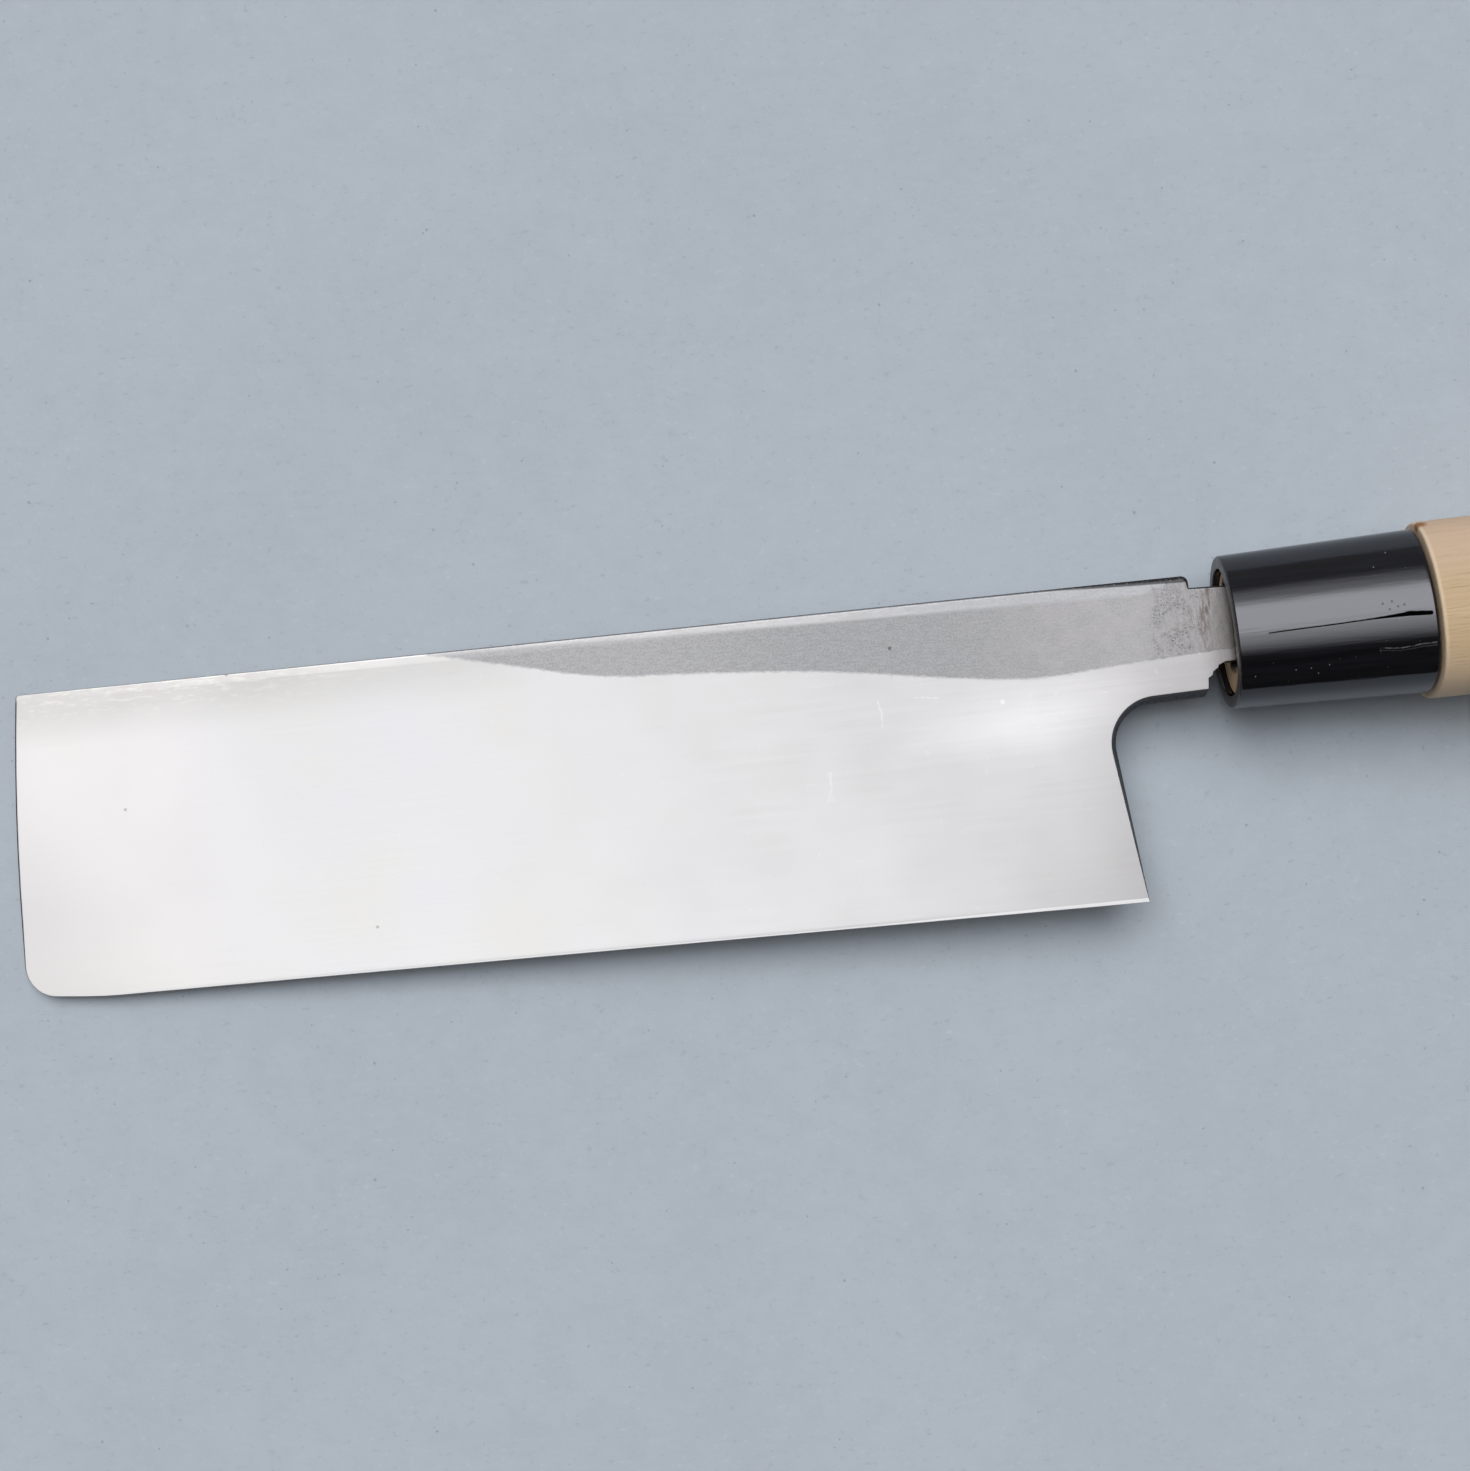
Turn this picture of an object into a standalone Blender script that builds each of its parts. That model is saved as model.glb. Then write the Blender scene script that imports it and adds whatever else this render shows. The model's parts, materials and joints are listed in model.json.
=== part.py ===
"""Usuba: a square-tipped, single-bevel vegetable knife, lying on its bevel side as it rests.

The knife is drawn along its handle. x runs from the blade's tip (negative) through the front of
the collar (x = 0) to the butt, y rises to the spine, and z = 0 is the flat of the blade's back,
which faces up. At the end the whole knife is laid on the table, the plane z = 0.
"""

import math

import bmesh
import bpy
from mathutils import Euler, Vector
from mathutils.geometry import interpolate_bezier

MM = 0.001

# Blade, seen square to its back
EDGE_LENGTH = 165.3 * MM        # cutting edge, from the heel to the tip end
EDGE_ANGLE = 0.875              # degrees that the edge closes on the handle line towards the tip
HEEL_AHEAD = 14.9 * MM          # heel corner, ahead of the collar
HEEL_DROP = 37.35 * MM          # heel corner, below the handle line
HEEL_LEAN = 7.5                 # degrees that the heel leans back at its foot
SPINE_RISE = 8.72 * MM          # spine above the handle line, at its shoulder
SPINE_ANGLE = 0.64              # degrees that the spine climbs towards the tip
SPINE_SHOULDER = 4.5 * MM       # where the spine steps down to the tang, ahead of the collar
TIP_TOP_BACK = 3.05 * MM        # how far the tip end's top stands behind its foot
TIP_BOW = 0.74 * MM             # how far the tip end bulges forward of a straight line
TIP_CORNER = 4.8 * MM           # radius of the corner between the tip end and the edge
TIP_LIFT = 11.4 * MM            # length of edge at the tip end that sharpening has worn back
TIP_LIFT_ANGLE = 5.0            # degrees that the worn edge turns up
TIP_LIFT_ROUND = 60.0 * MM      # radius where the worn edge starts
NOTCH_RADIUS = 6.7 * MM         # round corner between the heel and the neck
NECK_DROP = 7.88 * MM           # neck's lower side below the handle line, at its shoulder
NECK_ANGLE = 1.1                # degrees that the neck's lower side rises to the handle
NECK_SHOULDER = 3.26 * MM       # where the neck's lower side ends, ahead of the collar
NOTCH_DRAFT = 16.0              # degrees that the heel and neck walls lean out, going down

# Blade, across its thickness
SPINE_THICKNESS = 3.8 * MM      # at the spine's shoulder
TIP_THICKNESS = 2.1 * MM        # at the tip end
SPINE_ROUND = 0.55 * MM         # softened corners of the spine
BEVEL_HEIGHT = 22.5 * MM        # cutting bevel, from the edge to the ridge line
EDGE_LAND = 0.15 * MM           # thickness left at the very edge
HOLLOW_DEPTH = 0.45 * MM        # hollow ground into the back
RIM_AT_SPINE = 1.1 * MM         # flat rim left between the hollow and the spine
RIM_AT_EDGE = 0.7 * MM          # flat rim left between the hollow and the edge
RIM_AT_TIP = 1.2 * MM           # flat rim left at the tip end
HOLLOW_RUNOUT = 14.0 * MM       # length over which the hollow fades at each end
HOLLOW_BACK = 6.0 * MM          # where the hollow ends on the neck, ahead of the collar

# Hard steel layer, forge-welded to the back of the soft iron
STEEL_AT_HEEL = 1.15 * MM       # thickness of the hard steel at the heel
STEEL_AT_TIP = 0.75 * MM        # thickness of the hard steel at the tip end
STEEL_END = 0.9 * MM            # end of the hard steel, ahead of the collar
WELD_GAP = 0.05 * MM            # clearance between the two layers
# The weld line that wanders over the back, hammered by hand: (ahead of the collar, above the
# handle line)
WELD_LINE = [
    (126.0 * MM, 12.6 * MM),
    (113.5 * MM, 9.4 * MM),
    (102.0 * MM, 6.6 * MM),
    (90.0 * MM, 3.8 * MM),
    (76.5 * MM, 2.7 * MM),
    (58.0 * MM, 0.9 * MM),
    (41.0 * MM, -1.9 * MM),
    (28.0 * MM, -3.5 * MM),
    (14.5 * MM, -3.0 * MM),
    (0.9 * MM, -2.5 * MM),
]

# Tang
TANG_LENGTH = 86.0 * MM         # behind the front of the collar
TANG_TOP = 6.90 * MM            # above the handle line, at the collar
TANG_FOOT = 4.40 * MM           # below the handle line, at the collar
TANG_THICKNESS = 3.4 * MM       # at the collar
TANG_END_TOP = 3.2 * MM         # above the handle line, at the tang's end
TANG_END_FOOT = 1.6 * MM        # below the handle line, at the tang's end
TANG_END_THICKNESS = 2.2 * MM
TANG_END_ROUND = 1.5 * MM
TANG_STEP = 1.30 * MM           # foot of the lower shoulder, ahead of the collar

# Handle: an oval that is fuller towards the edge, with a finger ridge on the bevel side
HANDLE_AXIS_DROP = 2.0 * MM     # handle line, below the blade's back
COLLAR_LENGTH = 27.7 * MM
COLLAR_FRONT_HEIGHT = 22.2 * MM
COLLAR_REAR_HEIGHT = 23.6 * MM
COLLAR_FRONT_UP = 9.9 * MM      # from the handle line to the side facing up
COLLAR_REAR_UP = 10.3 * MM
RIDGE_EXTRA = 0.1 * MM          # how much deeper the ridge lies than the other side
RIDGE_SHARE = 0.32              # place of the ridge below the handle line, in half heights
RIDGE_PEAK = 1.0 * MM           # how far the ridge stands out of the oval
RIDGE_REACH = 0.95              # half width of the ridge's flanks, in half heights
RIDGE_CURVE = 1.2               # 1 makes the ridge's flanks flat, more makes them hollow
OVAL_POWER = 2.15               # 2 is an ellipse, more is boxier
FULLNESS_UP = 0.18              # how much fuller the upper side is towards the edge
FULLNESS_DOWN = 0.06            # how much fuller the ridge side is towards the edge
COLLAR_WALL = 1.9 * MM
COLLAR_ROUND = 0.5 * MM         # softened rims of the collar
HANDLE_LENGTH = 125.0 * MM      # collar and wood together
WOOD_PROUD = 0.9 * MM           # step from the collar up to the wood
WOOD_SWELL = 0.5 * MM           # growth of the wood, all round, on its way to the butt
WOOD_ROUND = 0.8 * MM           # softened rim of the wood at the collar
BUTT_ROUND = 1.6 * MM
TENON_RECESS = 1.0 * MM         # end of the wooden tenon, behind the front of the collar
FIT = 0.3 * MM                  # clearance between the wood and what it touches

AROUND = 48                     # points round the oval
CORNER_STEP = math.radians(9)   # largest turn between two points of a round corner
BEVEL_STATIONS = 10             # sections along the blade, whose bevel twists slightly
HOLLOW_ARC_STEPS = 34           # points across the hollow's grinding arc
RUNOUT_STEPS = 5
RUNOUT_REACH = 1.15             # how far out the hollow's cutter keeps rising, in runouts
WELD_STEPS = 5                  # steps of the weld line between two of its points
BOW_STEPS = 4                   # straight steps that make the tip end's bow
BUTT_STEPS = 5                  # steps of the butt's rounding
BLADE_CREASE = 20               # degrees over which the blade's faces meet in a sharp line
GRIP_CREASE = 35                # the same on the collar and the wood
CUT_MARGIN = 2.0 * MM           # how far a cutter reaches past what it cuts


def line_point(start, degrees, run):
    """Point reached from start by going run along x on a line that falls degrees towards +x."""
    return Vector((start[0] + run, start[1] - run * math.tan(math.radians(degrees))))


def spine_y(x):
    return line_point((-SPINE_SHOULDER, SPINE_RISE), SPINE_ANGLE, x + SPINE_SHOULDER).y


def edge_y(x):
    return line_point((-HEEL_AHEAD, -HEEL_DROP), EDGE_ANGLE, x + HEEL_AHEAD).y


def tip_foot():
    x = -HEEL_AHEAD - EDGE_LENGTH * math.cos(math.radians(EDGE_ANGLE))
    return Vector((x, edge_y(x)))


def worn_edge():
    """Where the worn end of the edge starts, and where its line reaches the tip end."""
    foot = tip_foot()
    start = Vector((foot.x + TIP_LIFT, edge_y(foot.x + TIP_LIFT)))
    return start, line_point(start, EDGE_ANGLE + TIP_LIFT_ANGLE, -TIP_LIFT)


def meet(a, towards_a, b, towards_b):
    """Crossing of the line through a along towards_a with the one through b along towards_b."""
    gap = b - a
    cross = towards_a.x * towards_b.y - towards_a.y * towards_b.x
    along = (gap.x * towards_b.y - gap.y * towards_b.x) / cross
    return a + towards_a * along


def rounded(corners):
    """Outline through (point, radius) corners, with an arc at each corner that has a radius."""
    outline = []
    for i, (corner, radius) in enumerate(corners):
        if radius <= 0:
            outline.append(corner)
            continue
        before = (corners[i - 1][0] - corner).normalized()
        after = (corners[(i + 1) % len(corners)][0] - corner).normalized()
        half = before.angle(after) / 2
        centre = corner + (before + after).normalized() * radius / math.sin(half)
        start = corner + before * radius / math.tan(half) - centre
        end = corner + after * radius / math.tan(half) - centre
        turn = math.pi - 2 * half
        if start.x * end.y - start.y * end.x < 0:
            turn = -turn
        steps = max(2, math.ceil(abs(turn) / CORNER_STEP))
        for k in range(steps + 1):
            angle = turn * k / steps
            c, s = math.cos(angle), math.sin(angle)
            outline.append(centre + Vector((start.x * c - start.y * s, start.x * s + start.y * c)))
    return outline


def loft(name, sections):
    """Closed solid through sections, which are loops of as many 3D points each."""
    bm = bmesh.new()
    rings = [[bm.verts.new(point) for point in section] for section in sections]
    for ring, following in zip(rings, rings[1:]):
        for i in range(len(ring)):
            j = (i + 1) % len(ring)
            bm.faces.new((ring[i], ring[j], following[j], following[i]))
    bm.faces.new(rings[0])
    bm.faces.new(rings[-1])
    bmesh.ops.recalc_face_normals(bm, faces=bm.faces)
    mesh = bpy.data.meshes.new(name)
    bm.to_mesh(mesh)
    bm.free()
    return bpy.data.objects.new(name, mesh)


def add_part(obj, collection, root, crease, material):
    collection.objects.link(obj)
    obj.parent = root
    obj.data.materials.append(material)
    obj.data.shade_smooth()
    obj.data.set_sharp_from_angle(angle=math.radians(crease))
    return obj


def add_cutter(obj, collection, root):
    collection.objects.link(obj)
    obj.parent = root
    obj.hide_render = True
    obj.display_type = 'WIRE'
    return obj


def cut(obj, cutter, operation='DIFFERENCE'):
    modifier = obj.modifiers.new(cutter.name, 'BOOLEAN')
    modifier.operation = operation
    modifier.solver = 'EXACT'
    modifier.object = cutter


def material(name, colour, roughness, metallic):
    made = bpy.data.materials.new(name)
    made.use_nodes = True
    shader = made.node_tree.nodes['Principled BSDF']
    shader.inputs['Base Color'].default_value = (*colour, 1.0)
    shader.inputs['Roughness'].default_value = roughness
    shader.inputs['Metallic'].default_value = metallic
    return made


def blade_outline():
    """Outline of blade and tang, with the notch between heel and neck still filled."""
    foot = tip_foot()
    worn_start, worn_foot = worn_edge()
    top_x = foot.x + TIP_TOP_BACK
    top = Vector((top_x, spine_y(top_x)))
    above = (top - foot).normalized() * CUT_MARGIN

    corners = [(top + above, 0)]
    for k in range(1, BOW_STEPS):
        share = k / BOW_STEPS
        bulge = TIP_BOW * 4 * share * (1 - share)
        corners.append((top.lerp(foot, share) - Vector((bulge, 0)), 0))
    shoulder_foot = Vector((-TANG_STEP, -TANG_FOOT))
    shoulder = Vector((-NECK_SHOULDER, -NECK_DROP)) - shoulder_foot
    corners += [
        (worn_foot, TIP_CORNER),
        (worn_start, TIP_LIFT_ROUND),
        (Vector((-NECK_SHOULDER, edge_y(-NECK_SHOULDER))), 0),
        (shoulder_foot + shoulder * (1 + CUT_MARGIN / shoulder.length), 0),
        (shoulder_foot, 0),
        (Vector((TANG_LENGTH, -TANG_END_FOOT)), TANG_END_ROUND),
        (Vector((TANG_LENGTH, TANG_END_TOP)), TANG_END_ROUND),
        (Vector((-SPINE_SHOULDER, TANG_TOP)), 0),
        (Vector((-SPINE_SHOULDER, SPINE_RISE + CUT_MARGIN)), 0),
    ]
    return rounded(corners)


def notch_outline(depth):
    """The notch between heel and neck at a depth below the back, where its walls lean in."""
    grow = depth * math.tan(math.radians(NOTCH_DRAFT))
    lean = math.radians(HEEL_LEAN)
    rise = math.radians(NECK_ANGLE)
    heel_line = Vector((-math.sin(lean), math.cos(lean)))
    neck_line = Vector((math.cos(rise), math.sin(rise)))
    heel = Vector((-HEEL_AHEAD + grow / math.cos(lean), -HEEL_DROP))
    neck = Vector((-NECK_SHOULDER, -NECK_DROP - grow / math.cos(rise)))
    low, right = -HEEL_DROP - CUT_MARGIN, CUT_MARGIN
    return rounded([
        (meet(heel, heel_line, Vector((0, low)), Vector((1, 0))), 0),
        (meet(heel, heel_line, neck, neck_line), NOTCH_RADIUS - grow),
        (meet(neck, neck_line, Vector((right, 0)), Vector((0, 1))), 0),
        (Vector((right, low)), 0),
    ])


def blade_thickness(x):
    tip = tip_foot().x
    if x >= 0:
        share = x / TANG_LENGTH
        return TANG_THICKNESS + (TANG_END_THICKNESS - TANG_THICKNESS) * share
    share = (min(x, -SPINE_SHOULDER) - tip) / (-SPINE_SHOULDER - tip)
    return TIP_THICKNESS + (SPINE_THICKNESS - TIP_THICKNESS) * share


def stock_section(x):
    """Section of the forged bar: flat back, flat side with softened spine, and cutting bevel."""
    thickness = blade_thickness(x)
    top = spine_y(x)
    slope = (thickness - EDGE_LAND) / BEVEL_HEIGHT
    section = [(edge_y(x) - EDGE_LAND / slope, 0.0), (edge_y(x) + BEVEL_HEIGHT, -thickness)]
    for start, height in ((-90, SPINE_ROUND - thickness), (0, -SPINE_ROUND)):
        for k in range(4):
            angle = math.radians(start + 30 * k)
            y = top - SPINE_ROUND + SPINE_ROUND * math.cos(angle)
            section.append((y, height + SPINE_ROUND * math.sin(angle)))
    return [Vector((x, y, z)) for y, z in section]


def blade_stock(name):
    tip = tip_foot().x - TIP_BOW - CUT_MARGIN
    stations = [tip + (-SPINE_SHOULDER - tip) * k / BEVEL_STATIONS for k in range(BEVEL_STATIONS + 1)]
    stations += [0.0, TANG_LENGTH + CUT_MARGIN]
    return loft(name, [stock_section(x) for x in stations])


def outline_cutter(name, outline):
    """Solid through the blade's thickness, from an outline given at each depth below the back."""
    depths = (-CUT_MARGIN, SPINE_THICKNESS + CUT_MARGIN)
    return loft(name, [[Vector((p.x, p.y, -depth)) for p in outline(depth)] for depth in depths])


def hollow_cutter():
    """Sector of the crowned grinding wheel that hollows the back, its axis along the blade."""
    front = tip_foot().x + RIM_AT_TIP
    back = -HOLLOW_BACK
    middle_x = (front + back) / 2
    high = spine_y(middle_x) - RIM_AT_SPINE
    low = edge_y(middle_x) + RIM_AT_EDGE
    radius = (high - low) ** 2 / (8 * HOLLOW_DEPTH)
    crown = HOLLOW_RUNOUT ** 2 / (2 * HOLLOW_DEPTH)
    slope = -math.tan(math.radians((SPINE_ANGLE + EDGE_ANGLE) / 2))
    reach = math.sqrt(2 * (HOLLOW_DEPTH + CUT_MARGIN / 2) / radius)

    fades = [HOLLOW_RUNOUT * (RUNOUT_REACH - k / RUNOUT_STEPS) for k in range(RUNOUT_STEPS + 1)]
    fades = [fade for fade in fades if fade > 0]
    stations = [(front + HOLLOW_RUNOUT - fade, fade) for fade in fades]
    stations += [(front + HOLLOW_RUNOUT, 0.0), (back - HOLLOW_RUNOUT, 0.0)]
    stations += [(back - HOLLOW_RUNOUT + fade, fade) for fade in reversed(fades)]

    sections = []
    for x, fade in stations:
        wheel = radius - fade ** 2 / (2 * crown)
        centre_y = (high + low) / 2 + (x - middle_x) * slope
        section = []
        for k in range(HOLLOW_ARC_STEPS + 1):
            angle = reach * (2 * k / HOLLOW_ARC_STEPS - 1)
            y = centre_y + wheel * math.sin(angle)
            z = radius - HOLLOW_DEPTH - wheel * math.cos(angle)
            section.append(Vector((x, y, z)))
        for side in (1, -1):
            section.append(Vector((x, centre_y + side * wheel * math.sin(reach), CUT_MARGIN * 2)))
        sections.append(section)
    return loft('hollow', sections)


def smooth_line(points, steps):
    """Smooth curve through points, with handles along the chord of each point's neighbours."""
    points = [Vector((x, y, 0)) for x, y in points]
    line = []
    for i in range(len(points) - 1):
        a, b = points[i], points[i + 1]
        leave = (b - points[max(i - 1, 0)]) / 6
        reach = (points[min(i + 2, len(points) - 1)] - a) / 6
        line += interpolate_bezier(a, a + leave, b - reach, b, steps)[:-1]
    return line + [points[-1]]


def steel_region(name, gap):
    """Block that holds the hard steel: under the weld line and down to the layers' border."""
    tip = tip_foot().x
    line = smooth_line([(-ahead, above + gap) for ahead, above in WELD_LINE], WELD_STEPS)
    border = [Vector((p.x, p.y)) for p in line[:-1]]
    border.append(Vector((-STEEL_END + gap, line[-1].y)))
    border.append(Vector((-STEEL_END + gap, -HEEL_DROP - CUT_MARGIN * 3)))
    border.append(Vector((tip - CUT_MARGIN * 2, -HEEL_DROP - CUT_MARGIN * 3)))
    border.append(Vector((tip - CUT_MARGIN * 2, line[0].y)))

    def floor(x):
        share = (x - tip) / (-HEEL_AHEAD - tip)
        return -(STEEL_AT_TIP + (STEEL_AT_HEEL - STEEL_AT_TIP) * share) - gap

    top = [Vector((p.x, p.y, CUT_MARGIN)) for p in border]
    bottom = [Vector((p.x, p.y, floor(p.x))) for p in border]
    return loft(name, [top, bottom])


def oval_section(x, half_height, up, inset=0.0):
    """Handle section at x: up is its reach from the handle line to the side facing up."""
    down = up - RIDGE_PEAK + RIDGE_EXTRA
    section = []
    for k in range(AROUND):
        angle = 2 * math.pi * k / AROUND
        c, s = math.cos(angle), math.sin(angle)
        y = math.copysign(abs(c) ** (2 / OVAL_POWER), c)
        z = math.copysign(abs(s) ** (2 / OVAL_POWER), s)
        if s > 0:
            z *= up * (1 - FULLNESS_UP * c)
        else:
            flank = max(0.0, 1 - abs(y + RIDGE_SHARE) / RIDGE_REACH)
            z = z * down * (1 - FULLNESS_DOWN * c) - RIDGE_PEAK * flank ** RIDGE_CURVE
        y *= half_height
        length = math.hypot(y, z)
        shrink = (length - inset) / length
        section.append(Vector((x, y * shrink, z * shrink - HANDLE_AXIS_DROP)))
    return section


def collar_section(x, inset=0.0):
    share = x / COLLAR_LENGTH
    half = (COLLAR_FRONT_HEIGHT + (COLLAR_REAR_HEIGHT - COLLAR_FRONT_HEIGHT) * share) / 2
    up = COLLAR_FRONT_UP + (COLLAR_REAR_UP - COLLAR_FRONT_UP) * share
    return oval_section(x, half, up, inset)


def wood_section(x, inset=0.0):
    share = (x - COLLAR_LENGTH) / (HANDLE_LENGTH - COLLAR_LENGTH)
    grow = WOOD_PROUD + WOOD_SWELL * share
    return oval_section(x, COLLAR_REAR_HEIGHT / 2 + grow, COLLAR_REAR_UP + grow, inset)


def quarter_round(radius, steps=3):
    """(run, inset) pairs of a rounded rim, from its face to its full section."""
    turns = [math.radians(90 * k / steps) for k in range(steps + 1)]
    return [(radius * (1 - math.cos(turn)), radius * (1 - math.sin(turn))) for turn in turns]


def bore_section(x, gap=0.0):
    """The collar's straight bore, and with a gap the tenon that fills it."""
    moved = collar_section(0.0, COLLAR_WALL + gap)
    return [Vector((x, point.y, point.z)) for point in moved]


def collar_blank():
    rim = quarter_round(COLLAR_ROUND)
    sections = [collar_section(run, inset) for run, inset in rim]
    sections += [collar_section(COLLAR_LENGTH - run, inset) for run, inset in reversed(rim)]
    return loft('collar', sections)


def bore_cutter():
    return loft('bore', [bore_section(-CUT_MARGIN), bore_section(COLLAR_LENGTH + CUT_MARGIN)])


def handle_blank():
    shoulder = COLLAR_LENGTH + FIT
    sections = [bore_section(TENON_RECESS, FIT), bore_section(shoulder, FIT)]
    sections += [wood_section(shoulder + run, inset) for run, inset in quarter_round(WOOD_ROUND)]
    sections += [wood_section(HANDLE_LENGTH - run, inset)
                 for run, inset in reversed(quarter_round(BUTT_ROUND, BUTT_STEPS))]
    return loft('handle', sections)


def mortise_cutter():
    """Burnt-in slot that holds the tang, larger than it by the fit."""
    def slot(x, top, foot, thickness):
        high, low = top + FIT, -foot - FIT
        return [Vector((x, high, FIT)), Vector((x, low, FIT)),
                Vector((x, low, -thickness - FIT)), Vector((x, high, -thickness - FIT))]
    mouth = slot(0.0, TANG_TOP, TANG_FOOT, TANG_THICKNESS)
    end = slot(TANG_LENGTH + FIT, TANG_END_TOP, TANG_END_FOOT, TANG_END_THICKNESS)
    return loft('mortise', [mouth, end])


def world_points(parts):
    graph = bpy.context.evaluated_depsgraph_get()
    points = []
    for part in parts:
        evaluated = part.evaluated_get(graph)
        points += [evaluated.matrix_world @ vertex.co for vertex in evaluated.data.vertices]
    return points


def lay_down(root, parts):
    """Tip the knife onto its blade tip and handle, then centre it on the table."""
    points = world_points(parts)
    tilt = 0.0
    for _ in range(6):
        turned = [(x * math.cos(tilt) - z * math.sin(tilt), x * math.sin(tilt) + z * math.cos(tilt), x)
                  for x, y, z in points]
        blade = min((p for p in turned if p[2] < -HEEL_AHEAD), key=lambda p: p[1])
        grip = min((p for p in turned if p[2] >= 0), key=lambda p: p[1])
        tilt += math.atan2(blade[1] - grip[1], grip[0] - blade[0])
    root.rotation_euler = Euler((0, -tilt, 0))
    bpy.context.view_layer.update()
    points = world_points(parts)
    low = Vector([min(p[i] for p in points) for i in range(3)])
    high = Vector([max(p[i] for p in points) for i in range(3)])
    root.location = (-(low.x + high.x) / 2, -(low.y + high.y) / 2, -low.z)


def build():
    for obj in list(bpy.data.objects):
        bpy.data.objects.remove(obj, do_unlink=True)
    parts = bpy.data.collections.new('usuba_knife')
    cutters = bpy.data.collections.new('cutters')
    for collection in (parts, cutters):
        bpy.context.scene.collection.children.link(collection)
    root = bpy.data.objects.new('knife', None)
    parts.objects.link(root)

    outline = add_cutter(outline_cutter('outline', lambda depth: blade_outline()), cutters, root)
    notch = add_cutter(outline_cutter('notch', notch_outline), cutters, root)
    hollow = add_cutter(hollow_cutter(), cutters, root)
    steel_block = add_cutter(steel_region('steel_block', 0.0), cutters, root)
    steel_pocket = add_cutter(steel_region('steel_pocket', WELD_GAP), cutters, root)
    bore = add_cutter(bore_cutter(), cutters, root)
    mortise = add_cutter(mortise_cutter(), cutters, root)

    iron = material('soft_iron', (0.44, 0.44, 0.45), 0.45, 1.0)
    jigane = add_part(blade_stock('blade_jigane'), parts, root, BLADE_CREASE, iron)
    cut(jigane, outline, 'INTERSECT')
    cut(jigane, notch)
    cut(jigane, steel_pocket)
    cut(jigane, hollow)

    steel = material('hard_steel', (0.72, 0.71, 0.70), 0.25, 1.0)
    hagane = add_part(blade_stock('blade_hagane'), parts, root, BLADE_CREASE, steel)
    cut(hagane, outline, 'INTERSECT')
    cut(hagane, notch)
    cut(hagane, steel_block, 'INTERSECT')
    cut(hagane, hollow)

    horn = material('black_horn', (0.012, 0.012, 0.014), 0.18, 0.0)
    collar = add_part(collar_blank(), parts, root, GRIP_CREASE, horn)
    cut(collar, bore)

    wood = material('pale_wood', (0.62, 0.47, 0.30), 0.55, 0.0)
    handle = add_part(handle_blank(), parts, root, GRIP_CREASE, wood)
    cut(handle, mortise)

    bpy.context.view_layer.update()
    lay_down(root, [jigane, hagane, collar, handle])


build()
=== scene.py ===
import json
import math
from collections import namedtuple

import bmesh
import bpy
import numpy as np
from mathutils import Matrix, Vector, noise
from mathutils.geometry import delaunay_2d_cdt, interpolate_bezier


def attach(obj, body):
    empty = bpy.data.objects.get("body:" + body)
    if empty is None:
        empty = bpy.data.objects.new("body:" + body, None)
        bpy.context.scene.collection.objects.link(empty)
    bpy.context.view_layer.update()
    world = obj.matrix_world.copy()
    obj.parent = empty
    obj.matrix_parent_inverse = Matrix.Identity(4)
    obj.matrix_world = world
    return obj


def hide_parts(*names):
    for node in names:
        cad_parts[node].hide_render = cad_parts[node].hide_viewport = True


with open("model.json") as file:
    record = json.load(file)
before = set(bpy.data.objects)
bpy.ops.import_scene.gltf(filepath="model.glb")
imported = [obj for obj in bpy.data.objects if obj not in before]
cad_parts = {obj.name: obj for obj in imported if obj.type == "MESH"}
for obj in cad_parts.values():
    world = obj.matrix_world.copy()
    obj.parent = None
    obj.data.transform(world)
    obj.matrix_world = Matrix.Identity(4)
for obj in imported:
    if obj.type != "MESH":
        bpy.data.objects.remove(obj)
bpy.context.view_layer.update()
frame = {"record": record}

MM = 0.001


def in_mm(*points):
    return [(a * MM, b * MM) for a, b in points]


# Blade outline, as in the solids: x along the handle from the collar's front, y up to the spine
EDGE_LENGTH = 165.3 * MM
EDGE_ANGLE = 0.875
HEEL_AHEAD = 14.9 * MM
HEEL_DROP = 37.35 * MM
HEEL_LEAN = 7.5
SPINE_RISE = 8.72 * MM
SPINE_ANGLE = 0.64
SPINE_SHOULDER = 4.5 * MM
SHOULDER_ROUND = 0.95 * MM  # softened corner where the spine steps down to the tang
TIP_TOP_BACK = 3.05 * MM
TIP_TOP_ROUND = 0.6 * MM
TIP_BOW = 0.74 * MM
TIP_CORNER = 4.8 * MM
TIP_LIFT = 11.4 * MM
TIP_LIFT_ANGLE = 5.0
TIP_LIFT_ROUND = 60.0 * MM
NOTCH_RADIUS = 6.7 * MM
NECK_DROP = 7.88 * MM
NECK_ANGLE = 1.1
NECK_SHOULDER = 3.26 * MM
NOTCH_DRAFT = 16.0
# The lower shoulder's rough filed steps: (ahead of the collar, below the handle line)
LOWER_STEPS = in_mm((3.09, 6.27), (2.47, 5.91), (2.34, 5.42), (1.57, 4.93), (1.46, 4.58))

# Blade, across its thickness
SPINE_THICKNESS = 3.8 * MM
TIP_THICKNESS = 2.1 * MM
BEVEL_HEIGHT = 22.5 * MM
EDGE_LAND = 0.15 * MM
HOLLOW_DEPTH = 0.45 * MM
HOLLOW_RUNOUT = (40.0 * MM, 34.0 * MM)  # lengths over which it fades out, at the tip end and the heel
HOLLOW_BACK = 6.0 * MM
RIM_AT_TIP = 1.2 * MM
RIM_AT_HEEL = 0.8 * MM
SPINE_RIM = (0.9 * MM, 1.35 * MM)  # flat rim under the spine, at the tip end and at the neck
EDGE_RIM = (0.35 * MM, 0.65 * MM)  # flat rim along the cutting edge, at the tip end and the heel
SPINE_CORNER = (0.12 * MM, 0.42 * MM)  # rounding of the spine's corner, tip end and neck
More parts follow.
